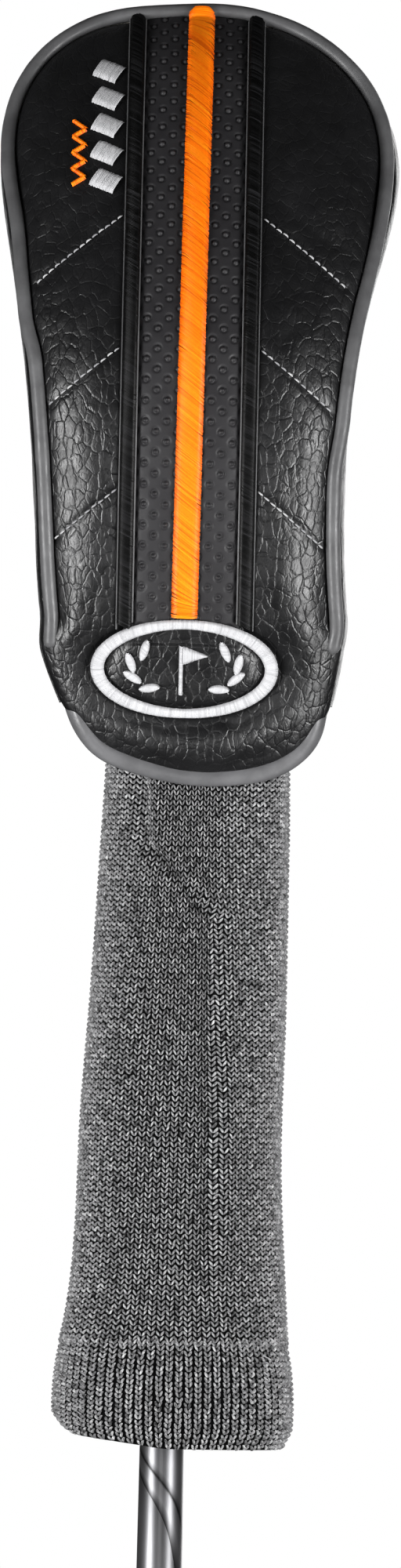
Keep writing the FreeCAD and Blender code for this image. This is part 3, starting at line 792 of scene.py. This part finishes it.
def gusset_leather():
    """The band between the two panels, from one side over the top to the other."""
    angles = angles_above(hem_high.z - 1.5 * MM, 0, 1441, 620)
    t = np.linspace(0, 1, 150)
    x0, z0 = outline(angles)
    x1, z1 = outline(angles, -1 * MM)
    outwards = np.stack([(x1 - x0) / MM, 0 * x0, (z1 - z0) / MM], -1)
    y0 = front(x0, z0) + 0.2 * MM
    y1 = back(x0, z0) - 0.2 * MM
    y = y0[:, None] + (y1 - y0)[:, None] * t
    flat = np.stack([np.repeat(x0[:, None], len(t), 1), y, np.repeat(z0[:, None], len(t), 1)], -1)
    from_seam = np.minimum(t, 1 - t) * (y1 - y0)[:, None]
    height = 1.3 * MM * rounded(from_seam, 9 * MM) - 1.1 * MM
    height += leather_height(flat, 51) * rounded(from_seam, 4 * MM)
    return new_piece("gusset_leather", flat + height[..., None] * outwards[:, None],
                     grid_faces(*y.shape), black_leather, "gusset")


def inner_layer(name, node, material, depth, thick, open_below):
    """One soft layer inside the leather: a front sheet, a back sheet and the band between them."""
    inset = depth + 0.6 * MM
    x, z = panel_grid(40, 70, lambda angle: np.full(np.shape(angle), inset))
    z = np.maximum(z, open_below)
    parts = []
    for surface, side in ((front, -1), (back, 1)):
        sheets = [lifted(surface, x, z, np.full(x.shape, -off), side) for off in (depth, depth + thick)]
        parts.append(slab(*(sheet[:, ::-side] for sheet in sheets)))
    angles = angles_above(open_below, 0, 1441, 160)
    share = np.linspace(0, 1, 14)
    rings = []
    for extra in (0, thick):
        ax, az = outline(angles, inset + extra)
        near, far = front(ax, az) + depth, back(ax, az) - depth
        y = near[:, None] + (far - near)[:, None] * share
        rings.append(np.stack([np.broadcast_to(ax[:, None], y.shape), y,
                               np.broadcast_to(az[:, None], y.shape)], -1))
    parts.append(slab(*rings))
    points, faces = joined(parts)
    shag = 0.25 * MM * value_noise(points, 2.2 * MM, 61)[:, None]
    return new_piece(name, points + shag * np.array([1, 1, 0.3]), faces, material, node)


def dimple_strip():
    """The dark grey strip, with staggered rows of small studs, each in a ring-shaped dimple."""
    z_line = np.linspace(ring_z, cord_high.z - CORD * 2, 400)
    length = length_along(front(np.full(400, strip_x), z_line), z_line)
    rows, columns = 620, 96
    s = np.linspace(0, length[-1], rows)
    z = np.interp(s, length, z_line)
    u = np.linspace(-1, 1, columns)
    x = strip_x + u * (strip_half + 0.6 * MM)
    x, z = np.meshgrid(x, z)
    s = np.repeat(s[:, None], columns, 1)
    height = 0.9 * MM * (1 - u[None, :]**4) - 0.2 * MM + 0 * s
    pitch_x, pitch_s, size = 2.72 * MM, 5.2 * MM, 0.95 * MM
    column = np.round((x - strip_x) / pitch_x)
    shift = np.where(column % 2 == 0, 0, 0.5) * pitch_s
    ds = (s - shift + pitch_s / 2) % pitch_s - pitch_s / 2
    dx = x - strip_x - column * pitch_x
    r = np.hypot(dx, ds) / size
    height += 0.46 * MM * ridge(r, 0.52) - 0.42 * MM * ridge(r - 0.88, 0.24)
    height += 0.12 * MM * value_noise(np.stack([x, 0 * x, z], -1), 9 * MM, 3)
    above_ring = ring_distance(x, z) > -0.8 * MM
    faces = grid_faces(rows, columns)
    faces = faces[above_ring.reshape(-1)[faces].all(1)]
    return new_piece("dimple_strip_leather", lifted(front, x, z, height), faces, strip_paint(),
                     "dimple_strip")


# ---- cords and hem
def cord(name, surface, side, node):
    """A piping cord along the edge of a panel."""
    angles = angles_above(cord_low.z, CORD, 2881, 700)
    x, z = outline(angles, CORD + slack(angles))
    path = lifted(surface, x, z, np.full(len(x), 0.75 * MM), side)
    ends = np.minimum(np.arange(len(x)), np.arange(len(x))[::-1]) * 0.55 * MM
    radius = CORD * rounded(ends + 0.05 * MM, 1.6 * MM)
    radius = radius * (1 + 0.03 * value_noise(path, 5 * MM, 5) + 0.015 * value_noise(path, 1.5 * MM, 6))
    return new_piece(name, *tube_mesh(path, radius, 18, (0, side, 0)), grey_piping, node)


def hem():
    """The bound edge round the mouth of the cover."""
    curve = smooth_curve(HEM_EDGE[1:-1]) * MM
    x, z = curve[:, 0], curve[:, 1]
    middle_x, middle_z = (hem_low.x + hem_high.x) / 2, 0.945
    way = np.stack([middle_x - x, middle_z - z])
    way /= np.linalg.norm(way, axis=0)
    hidden = fade(z, 0.920, 0.935)
    inwards = (2.1 + 1.2 * hidden) * MM
    x, z = x + inwards * way[0], z + inwards * way[1]
    front_arc = np.stack([x, front(x, z) + (0.2 + 2.0 * hidden) * MM, z], -1)
    back_arc = np.stack([x, back(x, z) - (0.2 + 2.0 * hidden) * MM, z], -1)[::-1]
    t = np.linspace(0, 1, 26)[1:-1, None]
    bulge = np.sin(np.pi * t) * np.array([1.6 * MM, 0, 1.5 * MM])
    right_side = front_arc[-1] * (1 - t) + back_arc[0] * t + bulge
    left_side = back_arc[-1] * (1 - t) + front_arc[0] * t + bulge * np.array([-1, 1, 1])
    path = np.concatenate([front_arc, right_side, back_arc, left_side])
    for _ in range(6):
        path = (np.roll(path, 1, 0) + 2 * path + np.roll(path, -1, 0)) / 4
    tangent = unit(np.roll(path, -1, 0) - np.roll(path, 1, 0))
    out = (path - path.mean(0)) * np.array([0.55, 1.0, 0])
    out = unit(out - tangent * (out * tangent).sum(1, keepdims=True))
    rise = np.cross(tangent, out)
    rise *= np.sign(rise[:, 2:3])
    turn = np.linspace(0, 2 * np.pi, 24, endpoint=False)
    wide = 2.2 * MM * (1 + 0.04 * value_noise(path, 9 * MM, 8))
    thick = 1.5 * MM
    ring = (rise[:, None] * (np.cos(turn)[None, :, None] * wide[:, None, None])
            + out[:, None] * (np.sign(np.sin(turn)) * np.abs(np.sin(turn))**0.7)[None, :, None] * thick)
    return new_piece("hem_binding_vinyl", path[:, None] + ring, grid_faces(*ring.shape[:2], True, True),
                     grey_hem, "hem_binding")


# ---- stitching
def satin(x, z, half_width, slant, pitch, dome, seed, lift, span=9):
    """Threads laid side by side across a line of (x, z) points, as (points, faces, tones)."""
    draw = np.random.default_rng(seed)
    s = length_along(x, z)
    count = max(int(s[-1] / pitch), 2)
    at = (np.arange(count) + 0.5) / count * s[-1]

    def along(values):
        return np.interp(at, s, np.broadcast_to(values, s.shape))
    half = along(half_width)
    cx, cz, tx, tz = along(x), along(z), along(np.gradient(x, s)), along(np.gradient(z, s))
    length = np.hypot(tx, tz)
    tx, tz = tx / length, tz / length
    a = np.linspace(-1, 1, span)
    wander = draw.normal(0, 0.025, count)
    tone = np.clip(draw.normal(0.55, 0.16, count), 0, 1)
    bow = np.sqrt(np.clip(1 - a**2, 0, 1))
    wide = pitch * 0.62
    rows = []
    for off, rise in ((-wide, 0.0), (0, 0.5 * pitch), (wide, 0.0)):
        shift = half[:, None] * a * (along(slant) + wander)[:, None] + off
        reach = half[:, None] * (a * (1 + 0.02 * draw.standard_normal((count, 1))))
        px = cx[:, None] + tx[:, None] * shift - tz[:, None] * reach
        pz = cz[:, None] + tz[:, None] * shift + tx[:, None] * reach
        under = lift(px, pz) if callable(lift) else lift
        rows.append(lifted(front, px, pz, under - 0.25 * MM + (dome + rise) * bow
                           + 0.25 * MM * np.minimum(bow * 3, 1)))
    faces = grid_faces(3, span, flip=True) + (np.arange(count) * 3 * span)[:, None, None]
    # Painted shade: each thread's tone darkens towards its two ends, where it dips into the leather.
    shade = tone[:, None, None] * (1 - 0.6 * np.abs(a)**5) * np.ones((1, 3, 1))
    return np.stack(rows, 1).reshape(-1, 3), faces.reshape(-1, 4), shade.reshape(-1)


def toned(piece, tones):
    made = piece.data.attributes.new("tone", "FLOAT", "POINT")
    made.data.foreach_set("value", np.asarray(tones, np.float32))
    return piece


def thread_piece(name, parts, material, node):
    """One piece from many (points, faces, tones)."""
    return toned(new_piece(name, *joined(parts), material, node), np.concatenate([part[2] for part in parts]))


def satin_piece(node, parts, material):
    return thread_piece(node + "_satin", parts, material, node)


def straight(x0, z0, x1, z1, count):
    t = np.linspace(0, 1, count)
    return x0 + (x1 - x0) * t, z0 + (z1 - z0) * t


def ring_top(x):
    """Height of the badge's outer edge above a point of its width."""
    return ring_z + ring_half_z * np.sqrt(np.maximum(1 - ((x - ring_x) / ring_half_x)**2, 0))


def orange_stripe():
    x, half = middle_and_half("orange_stripe")
    top = outline(np.pi / 2)[1] - 2.7 * MM
    line_x, line_z = straight(x - 0.6 * MM, ring_top(x) + 0.4 * MM, x + 0.6 * MM, top, 240)
    width = half * rounded(top - line_z + 0.5 * MM, 2.0 * MM)
    slant = 0.75 * fade(line_z, top, top - 9 * MM) * fade(line_z, line_z[0], line_z[0] + 9 * MM)
    cord_z = outline(np.pi / 2, CORD)[1]

    def over_cord(_, z):
        to_cord = (cord_z - z) / (CORD + 0.9 * MM)
        return np.maximum(1.3 * MM, 0.4 * MM + 2.4 * MM * np.sqrt(np.clip(1 - to_cord**2, 0, 1)))
    threads = satin(line_x, line_z, width, slant, 0.30 * MM, 0.75 * MM, 21, over_cord)
    return satin_piece("orange_stripe", [threads], orange_satin)


BINDINGS = ("strip_binding_left", "strip_binding_right")


def strip_bindings():
    made = []
    for node in BINDINGS:
        x, half = middle_and_half(node)
        line = straight(x, ring_top(x) + 0.9 * MM, x, cord_high.z - 1.9 * CORD, 120)
        threads = satin(*line, half, 0.5, 0.38 * MM, 0.6 * MM, 22, 1.2 * MM)
        made.append(satin_piece(node, [threads], black_satin))
    return made


def strip_welts():
    """Thin rolled edges of leather on both sides of the satin bands, in the pale grey piping paint: a painted
    highlight along the band edges.
    """
    parts = []
    for node in BINDINGS:
        low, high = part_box(node)
        for x in (low.x - 0.1 * MM, high.x + 0.1 * MM):
            line = straight(x, ring_top(x) + 1.0 * MM, x, cord_high.z - 2.6 * CORD, 140)
            parts.append(tube_mesh(lifted(front, *line, np.full(140, 0.9 * MM)), 0.24 * MM, 8))
    # The welts' pale grey stands in for light catching the band edges: painted highlight.
    return new_piece("strip_welts_painted_highlight", *joined(parts), grey_piping)


def badge_ring():
    t = np.linspace(0, 2 * np.pi, 400)
    x = ring_x + (ring_half_x - 1.95 * MM) * np.sin(t)
    z = ring_z + (ring_half_z - 1.30 * MM) * np.cos(t)
    thick = 1.15 * MM + 0.50 * MM * np.abs(np.sin(t))
    threads = satin(x, z, thick, 0.06, 0.36 * MM, 0.5 * MM, 23, 1.5 * MM)
    return satin_piece("badge_ring", [threads], white_satin)


def leaf(cx, cz, angle, length, width, seed):
    t = np.linspace(-1, 1, 24)
    x = cx + 0.5 * length * t * math.cos(angle)
    z = cz + 0.5 * length * t * math.sin(angle)
    half = 0.5 * width * np.sqrt(np.maximum(1 - t**2, 0.02))
    return satin(x, z, half, 0.35, 0.3 * MM, 0.4 * MM, seed, on_leather, 7)


def badge_motif():
    """Two sprigs of leaves round a pennant on its pole."""
    parts = []
    for side in (-1, 1):
        for k in range(4):
            angle = math.radians(-62 + 38 * k)
            cx = ring_x + side * (4.0 + 9.6 * math.cos(angle)) * MM
            cz = ring_z + 5.6 * math.sin(angle) * MM
            tilt = angle + math.radians(58)
            tilt = tilt if side > 0 else math.pi - tilt
            parts.append(leaf(cx, cz, tilt, 5.0 * MM, 2.2 * MM, 40 + k))
    pole = straight(ring_x - 0.85 * MM, ring_z - 6.4 * MM, ring_x - 0.85 * MM, ring_z + 5.6 * MM, 40)
    parts.append(satin(*pole, 0.5 * MM, 0.2, 0.3 * MM, 0.35 * MM, 60, on_leather, 5))
    flag = straight(ring_x - 0.4 * MM, ring_z + 3.3 * MM, ring_x + 5.6 * MM, ring_z + 3.3 * MM, 30)
    taper = 2.3 * MM * np.linspace(1, 0.08, 30)
    parts.append(satin(*flag, taper, 0.0, 0.3 * MM, 0.4 * MM, 61, on_leather, 7))
    return satin_piece("badge_motif", parts, white_satin)


def on_leather(x, z):
    """Where thread lies on the puffed leather."""
    return leather_lift(x, z) + 0.4 * MM


def side_bars():
    """Plain slanted bars down the side of the front panel."""
    low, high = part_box("side_bars")
    count = 5
    gap = (high.z - low.z) / (count - 0.05)
    parts = []
    for k in range(count):
        z = high.z - gap * (k + 0.5)
        line = straight(low.x + 0.7 * MM, z + 0.8 * MM, high.x - 0.7 * MM, z - 0.8 * MM, 30)
        parts.append(satin(*line, gap * 0.36, 0.25, 0.33 * MM, 0.5 * MM, 70 + k, on_leather))
    return satin_piece("side_bars", parts, white_satin)


def side_zigzag():
    low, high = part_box("side_zigzag")
    turns = 8
    t = np.linspace(0, turns, turns * 14)
    x = low.x + (high.x - low.x) * np.abs((t + 1) % 2 - 1)
    z = high.z + (low.z - high.z) * t / turns
    threads = satin(x, z, 0.55 * MM, 0.3, 0.3 * MM, 0.35 * MM, 80, on_leather, 5)
    return satin_piece("side_zigzag", [threads], orange_satin)


def loop_of_thread(path, radius, sides, tone):
    """One visible stitch, as (points, faces, tones)."""
    points, faces = tube_mesh(path, radius, sides)
    return points, faces, np.full(len(points), tone)


def chevron_stitching():
    """Six rows of lock stitches, sunk in the valleys that they pull into the leather."""
    parts = []
    draw = np.random.default_rng(90)
    bow = np.sqrt(np.clip(1 - np.linspace(-1, 1, 7)**2, 0, 1))
    for a, b in stitch_lines():
        length = math.hypot(b[0] - a[0], b[1] - a[1])
        count = int(length / (1.95 * MM))
        half = 0.74 * MM / length
        for k in range(count):
            mid = (k + 0.5) / count
            t = np.linspace(mid - half, mid + half, 7)
            x = a[0] + (b[0] - a[0]) * t
            z = a[1] + (b[1] - a[1]) * t + draw.normal(0, 0.06) * MM
            path = lifted(front, x, z, leather_lift(x, z) + 0.05 * MM + 0.4 * MM * bow)
            radius = 0.26 * MM * (0.45 + 0.55 * bow)
            parts.append(loop_of_thread(path, radius, 7, draw.uniform(0.35, 0.95)))
    return thread_piece("chevron_stitching_thread", parts, pale_thread, "chevron_stitching")


# ---- the knitted sock
class Skin:
    """The outer surface of a CAD tube round the shaft, sampled by height and by angle."""

    def __init__(self, node):
        low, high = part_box(node)
        tree = tree_of(node)
        self.high = high.z
        self.heights = np.linspace(low.z + 0.4 * MM, high.z - 0.4 * MM, 40)
        self.angles = np.linspace(0, 2 * np.pi, 73)
        self.x = (low.x + high.x) / 2
        self.y = (low.y + high.y) / 2
        rows = []
        for z in self.heights[::-1]:
            row = []
            for k, angle in enumerate(self.angles[:-1]):
                way = Vector((math.cos(angle), math.sin(angle), 0))
                centre = Vector((self.x, self.y, z))
                hit = tree.ray_cast(centre + way * 0.1, -way)[0]
                reach = (hit - centre).dot(way) if hit else 0
                if rows and reach < rows[-1][k] - 3 * MM:
                    reach = rows[-1][k]
                row.append(reach)
            rows.append(row + row[:1])
        self.reach = np.array(rows[::-1])

    def at(self, angle, z, off=0.0):
        """Points at an angle and a height, moved off the surface."""
        angle = np.asarray(angle, float) % (2 * np.pi)
        z = np.asarray(z, float)
        row = np.interp(z, self.heights, np.arange(len(self.heights)))
        column = angle / (2 * np.pi) * (len(self.angles) - 1)
        reach = bilinear(self.reach, np.minimum(row, len(self.heights) - 1.001), column) + off
        return np.stack([self.x + reach * np.cos(angle), self.y + reach * np.sin(angle), z], -1)


def even_angles(skin, z, count):
    """Angles that share out the girth evenly, starting at the front."""
    fine = np.linspace(-0.5 * np.pi, 1.5 * np.pi, 721)
    p = skin.at(fine, np.full(len(fine), z))
    s = np.append(0, np.cumsum(np.linalg.norm(np.diff(p, axis=0), axis=1)))
    return np.interp(np.arange(count) / count * s[-1], s, fine), s[-1]


# A leg of a stitch: its spread, half width and slope as shares of a column, and its height.
SOCK_LEG = (0.44, 0.105, 0.12, 0.48 * MM)
CUFF_LEG = (0.33, 0.125, 0.13, 0.58 * MM)


def knit(name, node, angles, low, high, course, leg, seed, shape):
    """A tube of V-shaped stitches, each of two plump legs, over a near-black ground that is painted shade in
    the gaps between them.

    The columns stand at the angles, and low is the lower edge at each of them.
    """
    draw = np.random.default_rng(seed)
    rows = int(round((high - low.min()) / course))
    wi, ri = np.indices((len(angles), rows)).reshape(2, -1)
    following = np.append(angles, angles[0] + 2 * np.pi)
    gap = following[wi + 1] - following[wi]
    height = (high - low[wi]) / rows
    jitter_a = draw.normal(0, 0.03, len(wi))
    jitter_b = draw.normal(0, 0.05, len(wi))
    joins = fade(ri, rows - 7, rows)[:, None] if leg == CUFF_LEG else 0.0
    spread, half, slope, plump = (a + (b - a) * joins for a, b in zip(leg, SOCK_LEG))
    t = np.linspace(0, 1, 5)
    fat = np.array([0.35, 0.9, 1.0, 0.9, 0.45])
    arch = np.array([-0.7, 0.5, 1.0, 0.7, -0.4])
    blocks = []
    tones = []
    for side in (-1, 1):
        a_mid = side * (0.4 * half + (spread - 0.4 * half) * t)
        b_mid = -0.05 + 1.05 * t
        tone = np.clip(draw.normal(0.5, 0.10, len(wi)), 0, 1)
        rings = []
        for across, round_height in ((-1, -0.5), (0, 0.5), (1, -0.5)):
            a = a_mid + across * half * fat + jitter_a[:, None]
            b = b_mid - side * across * slope * fat + jitter_b[:, None]
            angle = following[wi][:, None] + gap[:, None] * (0.5 + a)
            z = low[wi][:, None] + height[:, None] * (ri[:, None] + b)
            rings.append(shape(angle, z, plump * (0.5 * arch + round_height * fat)))
        blocks.append(np.stack(rings, 1).reshape(-1, 3))
        streak = draw.normal(0, 0.16, (len(wi), 3, 5))
        tones.append((tone[:, None, None] + streak).reshape(-1))
    points = np.concatenate(blocks)
    leg_faces = grid_faces(3, 5, flip=True) + (np.arange(2 * len(wi)) * 15)[:, None, None]
    leg_faces = leg_faces.reshape(-1, 4)
    ground_angle = np.linspace(0, 2 * np.pi, 97)[:-1]
    edge = np.interp(ground_angle, angles % (2 * np.pi), low, period=2 * np.pi)
    ga, gv = np.meshgrid(ground_angle, np.linspace(0, 1, 80))
    gz = edge[None, :] + (high - edge)[None, :] * gv
    sheet = np.concatenate([shape(ga, gz, -0.75 * leg[-1]), shape(ga[::-1], gz[::-1], -1.3 * MM)])
    ground = (sheet.reshape(-1, 3), grid_faces(*sheet.shape[:2], closed_columns=True, closed_rows=True))
    piece = new_piece(name, *joined([(points, leg_faces), ground]), knit_yarn, node)
    # The ground faces take the second material, the near-black painted shade between the legs.
    piece.data.materials.append(painted_shade_ground)
    index = (np.arange(len(piece.data.polygons)) >= len(leg_faces)).astype(np.int32)
    piece.data.polygons.foreach_set("material_index", index)
    return toned(piece, np.clip(np.concatenate(tones + [np.full(len(ground[0]), 0.1)]), 0, 1))


sock_skin = Skin("knit_sock")
cuff_skin = Skin("sock_cuff")
SOCK_MIDDLE, CUFF_MIDDLE = 0.85, 0.75
COLUMN_WIDTH = 1.86 * MM
_, sock_girth = even_angles(sock_skin, SOCK_MIDDLE, 2)
sock_columns, _ = even_angles(sock_skin, SOCK_MIDDLE, int(round(sock_girth / COLUMN_WIDTH)))


def sock():
    def shape(angle, z, off):
        p = sock_skin.at(angle, z)
        soft = 0.7 * MM * value_noise(p * np.array([1, 1, 0.35]), 13 * MM, 77)
        bend_heights, bend_places = (0.875, 0.894, 0.93), (36 * MM, 18 * MM, 16 * MM)
        beside = p[..., 0] - sock_low.x - np.interp(p[..., 2], bend_heights, bend_places)
        crease = 1.0 * MM * ridge(beside - 4 * MM, 3 * MM) - 1.6 * MM * ridge(beside, 2.2 * MM)
        on_front = (p[..., 1] < 0) * fade(p[..., 2], sock_low.z + 5 * MM, sock_low.z + 35 * MM)
        return sock_skin.at(angle, z, off + soft + crease * on_front)
    low = np.full(len(sock_columns), sock_low.z - 0.4 * MM)
    return knit("knit_sock_stitches", "knit_sock", sock_columns, low, sock_skin.high,
                1.27 * MM, SOCK_LEG, 101, shape)


def cuff():
    def shape(angle, z, off):
        p = cuff_skin.at(angle, z)
        soft = 0.5 * MM * value_noise(p * np.array([1, 1, 0.3]), 9 * MM, 78)
        turned_in = -1.6 * MM * fade(z, cuff_low.z + 5 * MM, cuff_low.z)
        return cuff_skin.at(angle, z, off + soft + turned_in)
    x = cuff_skin.at(sock_columns, np.full(len(sock_columns), CUFF_MIDDLE))[:, 0]
    low = cuff_low.z + 3.2 * MM * np.clip(-x / (26 * MM), 0, 1) + 4.5 * MM * fade(x, -24 * MM, -30 * MM)
    return knit("sock_cuff_stitches", "sock_cuff", sock_columns, low, cuff_skin.high + 1.2 * MM,
                1.32 * MM, CUFF_LEG, 102, shape)


def cuff_seams():
    """Two overlocked seams that run up the cuff."""
    low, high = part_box("cuff_seam_stitches")
    middle, reach = 2.7 * MM, 31 * MM
    count = 15
    parts = []
    draw = np.random.default_rng(120)
    t = np.linspace(-1, 1, 6)
    radius = 0.15 * MM * np.array([0.4, 1, 1.1, 1.1, 1, 0.4])
    for x0, x1 in ((low.x + 0.8 * MM, low.x + 2.8 * MM), (high.x - 0.8 * MM, high.x - 1.8 * MM)):
        for k in range(count):
            share = k / (count - 1)
            x = x0 + (x1 - x0) * share + 0.55 * MM * t
            z = low.z + (high.z - low.z) * share - 0.40 * MM * t + draw.normal(0, 0.12) * MM
            side = (x - middle) / reach
            angle = np.arctan2(-0.8 * np.sqrt(np.maximum(1 - side**2, 0.02)), side)
            path = cuff_skin.at(angle, z, 0.55 * MM)
            path[:, 0] = x
            parts.append(loop_of_thread(path, radius, 6, draw.uniform(0.1, 0.9)))
    return thread_piece("cuff_seam_thread", parts, pale_thread, "cuff_seam_stitches")


# ---- build and attach
cover_pieces = [front_leather(), back_leather(), gusset_leather(), dimple_strip(),
                cord("piping_front_cord", front, -1, "piping_front"),
                cord("piping_back_cord", back, 1, "piping_back"),
                hem(), orange_stripe(), *strip_bindings(), strip_welts(), badge_ring(), badge_motif(),
                side_bars(), side_zigzag(), chevron_stitching(),
                inner_layer("foam_padding_sheets", "foam_padding", foam_paint(), 1.6 * MM, 2.2 * MM, 0.936),
                inner_layer("plush_lining_sheets", "cover_lining",
                            dark_cloth_and_shade_paint("plush_lining", (0.05, 0.05, 0.055)), 4.0 * MM, 0.7 * MM, 0.934)]
for piece in cover_pieces:
    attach(piece, "cover")
sock_piece = sock()
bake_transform(sock_piece)
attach(cuff(), "cuff")
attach(cuff_seams(), "cuff")

paints = {
    "grip": grip_paint(),
    "grip_tape": plastic_paint("paper_tape", (0.62, 0.56, 0.42), 0.7),
    "shaft": shaft_paint(),
    "tip_plug": plastic_paint("plug_plastic", (0.05, 0.05, 0.05), 0.6),
    "ferrule": plastic_paint("ferrule_plastic", (0.008, 0.008, 0.009), 0.15),
    "shaft_sleeve": metal_paint("anodised_alloy", (0.35, 0.36, 0.38), 0.35),
    "head_body": metal_paint("satin_dark_steel", (0.10, 0.10, 0.105), 0.33),
    "face_cup": metal_paint("brushed_face_steel", (0.46, 0.46, 0.47), 0.30, (1, 8, 1)),
    "crown_plate": carbon_paint(),
    "stiffener_bars": metal_paint("bar_titanium", (0.42, 0.39, 0.36), 0.4),
    "sole_weight": metal_paint("cast_tungsten", (0.30, 0.30, 0.31), 0.5),
    "weight_screw": metal_paint("blasted_tungsten", (0.36, 0.36, 0.37), 0.45),
    "hosel_bolt": metal_paint("plated_bolt", (0.16, 0.16, 0.17), 0.35),
    "bolt_washer": metal_paint("washer_steel", (0.4, 0.4, 0.41), 0.35),
    "throat_elastic": dark_cloth_and_shade_paint("ribbed_elastic", (0.02, 0.02, 0.021)),
}
for name, paint in paints.items():
    nodes[name].data.materials.clear()
    nodes[name].data.materials.append(paint)


# ---- stage, light and camera
def stage():
    bpy.ops.mesh.primitive_plane_add(size=26, location=(0, 0, cad_box[0].z - 0.5 * MM))
    floor = bpy.context.object
    floor.name = "floor"
    p = Paint("pale_floor", (0.12, 0.12, 0.12), 0.9, specular=0.1)
    p.feed(p.shader, {"Emission Color": (0.90, 0.90, 0.90, 1)})
    p.feed(p.shader, {"Emission Strength": p.node("LightPath").outputs["Is Camera Ray"]})
    floor.data.materials.append(p.material)


def world():
    """White to the camera, a dimmer soft sky for light."""
    made = bpy.data.worlds.new("studio")
    scene.world = made
    made.use_nodes = True
    tree = made.node_tree
    tree.nodes.clear()
    kinds = ("OutputWorld", "MixShader", "LightPath", "Background", "Background")
    out, mix, path, soft, white = (tree.nodes.new("ShaderNode" + kind) for kind in kinds)
    for sky, strength in ((soft, 0.07), (white, 1.0)):
        sky.inputs[0].default_value = (1, 1, 1, 1)
        sky.inputs[1].default_value = strength
    tree.links.new(path.outputs["Is Camera Ray"], mix.inputs[0])
    tree.links.new(soft.outputs[0], mix.inputs[1])
    tree.links.new(white.outputs[0], mix.inputs[2])
    tree.links.new(mix.outputs[0], out.inputs[0])


def area_light(name, place, target, width, height, power):
    data = bpy.data.lights.new(name, "AREA")
    data.shape = "RECTANGLE"
    data.size = width
    data.size_y = height
    data.energy = power
    made = bpy.data.objects.new(name, data)
    scene.collection.objects.link(made)
    made.location = place
    made.rotation_euler = (Vector(target) - Vector(place)).to_track_quat("-Z", "Y").to_euler()
    made.visible_camera = False


def camera():
    """Level and square to the front of the cover, turned so that the club leans a little."""
    data = bpy.data.cameras.new("camera")
    made = bpy.data.objects.new("camera", data)
    scene.collection.objects.link(made)
    distance = 4.2
    shown_height = 0.3922
    data.sensor_width = 36.0
    data.lens = data.sensor_width * distance / shown_height
    data.clip_end = 50
    lean = math.radians(1.24)
    cos, sin = math.cos(lean), math.sin(lean)
    made.matrix_world = Matrix(((cos, -sin, 0, cover_x + 3.5 * MM),
                                (0, 0, -1, -distance),
                                (sin, cos, 0, cad_box[1].z - shown_height / 2 + 0.3 * MM),
                                (0, 0, 0, 1)))
    scene.camera = made


scene.view_settings.view_transform = "Standard"
scene.view_settings.gamma = 0.85
stage()
world()
area_light("left_strip", (-1.0, -0.8, 0.70), (0, 0, 0.93), 0.45, 0.9, 26)
area_light("right_strip", (1.0, -0.8, 0.70), (0, 0, 0.93), 0.45, 0.9, 25)
area_light("front_fill", (0.0, -1.8, 0.6), (0, 0, 0.93), 0.5, 0.4, 4)
area_light("back_fill", (0.3, 1.5, 1.1), (0, 0, 0.95), 1.4, 1.2, 14)
camera()
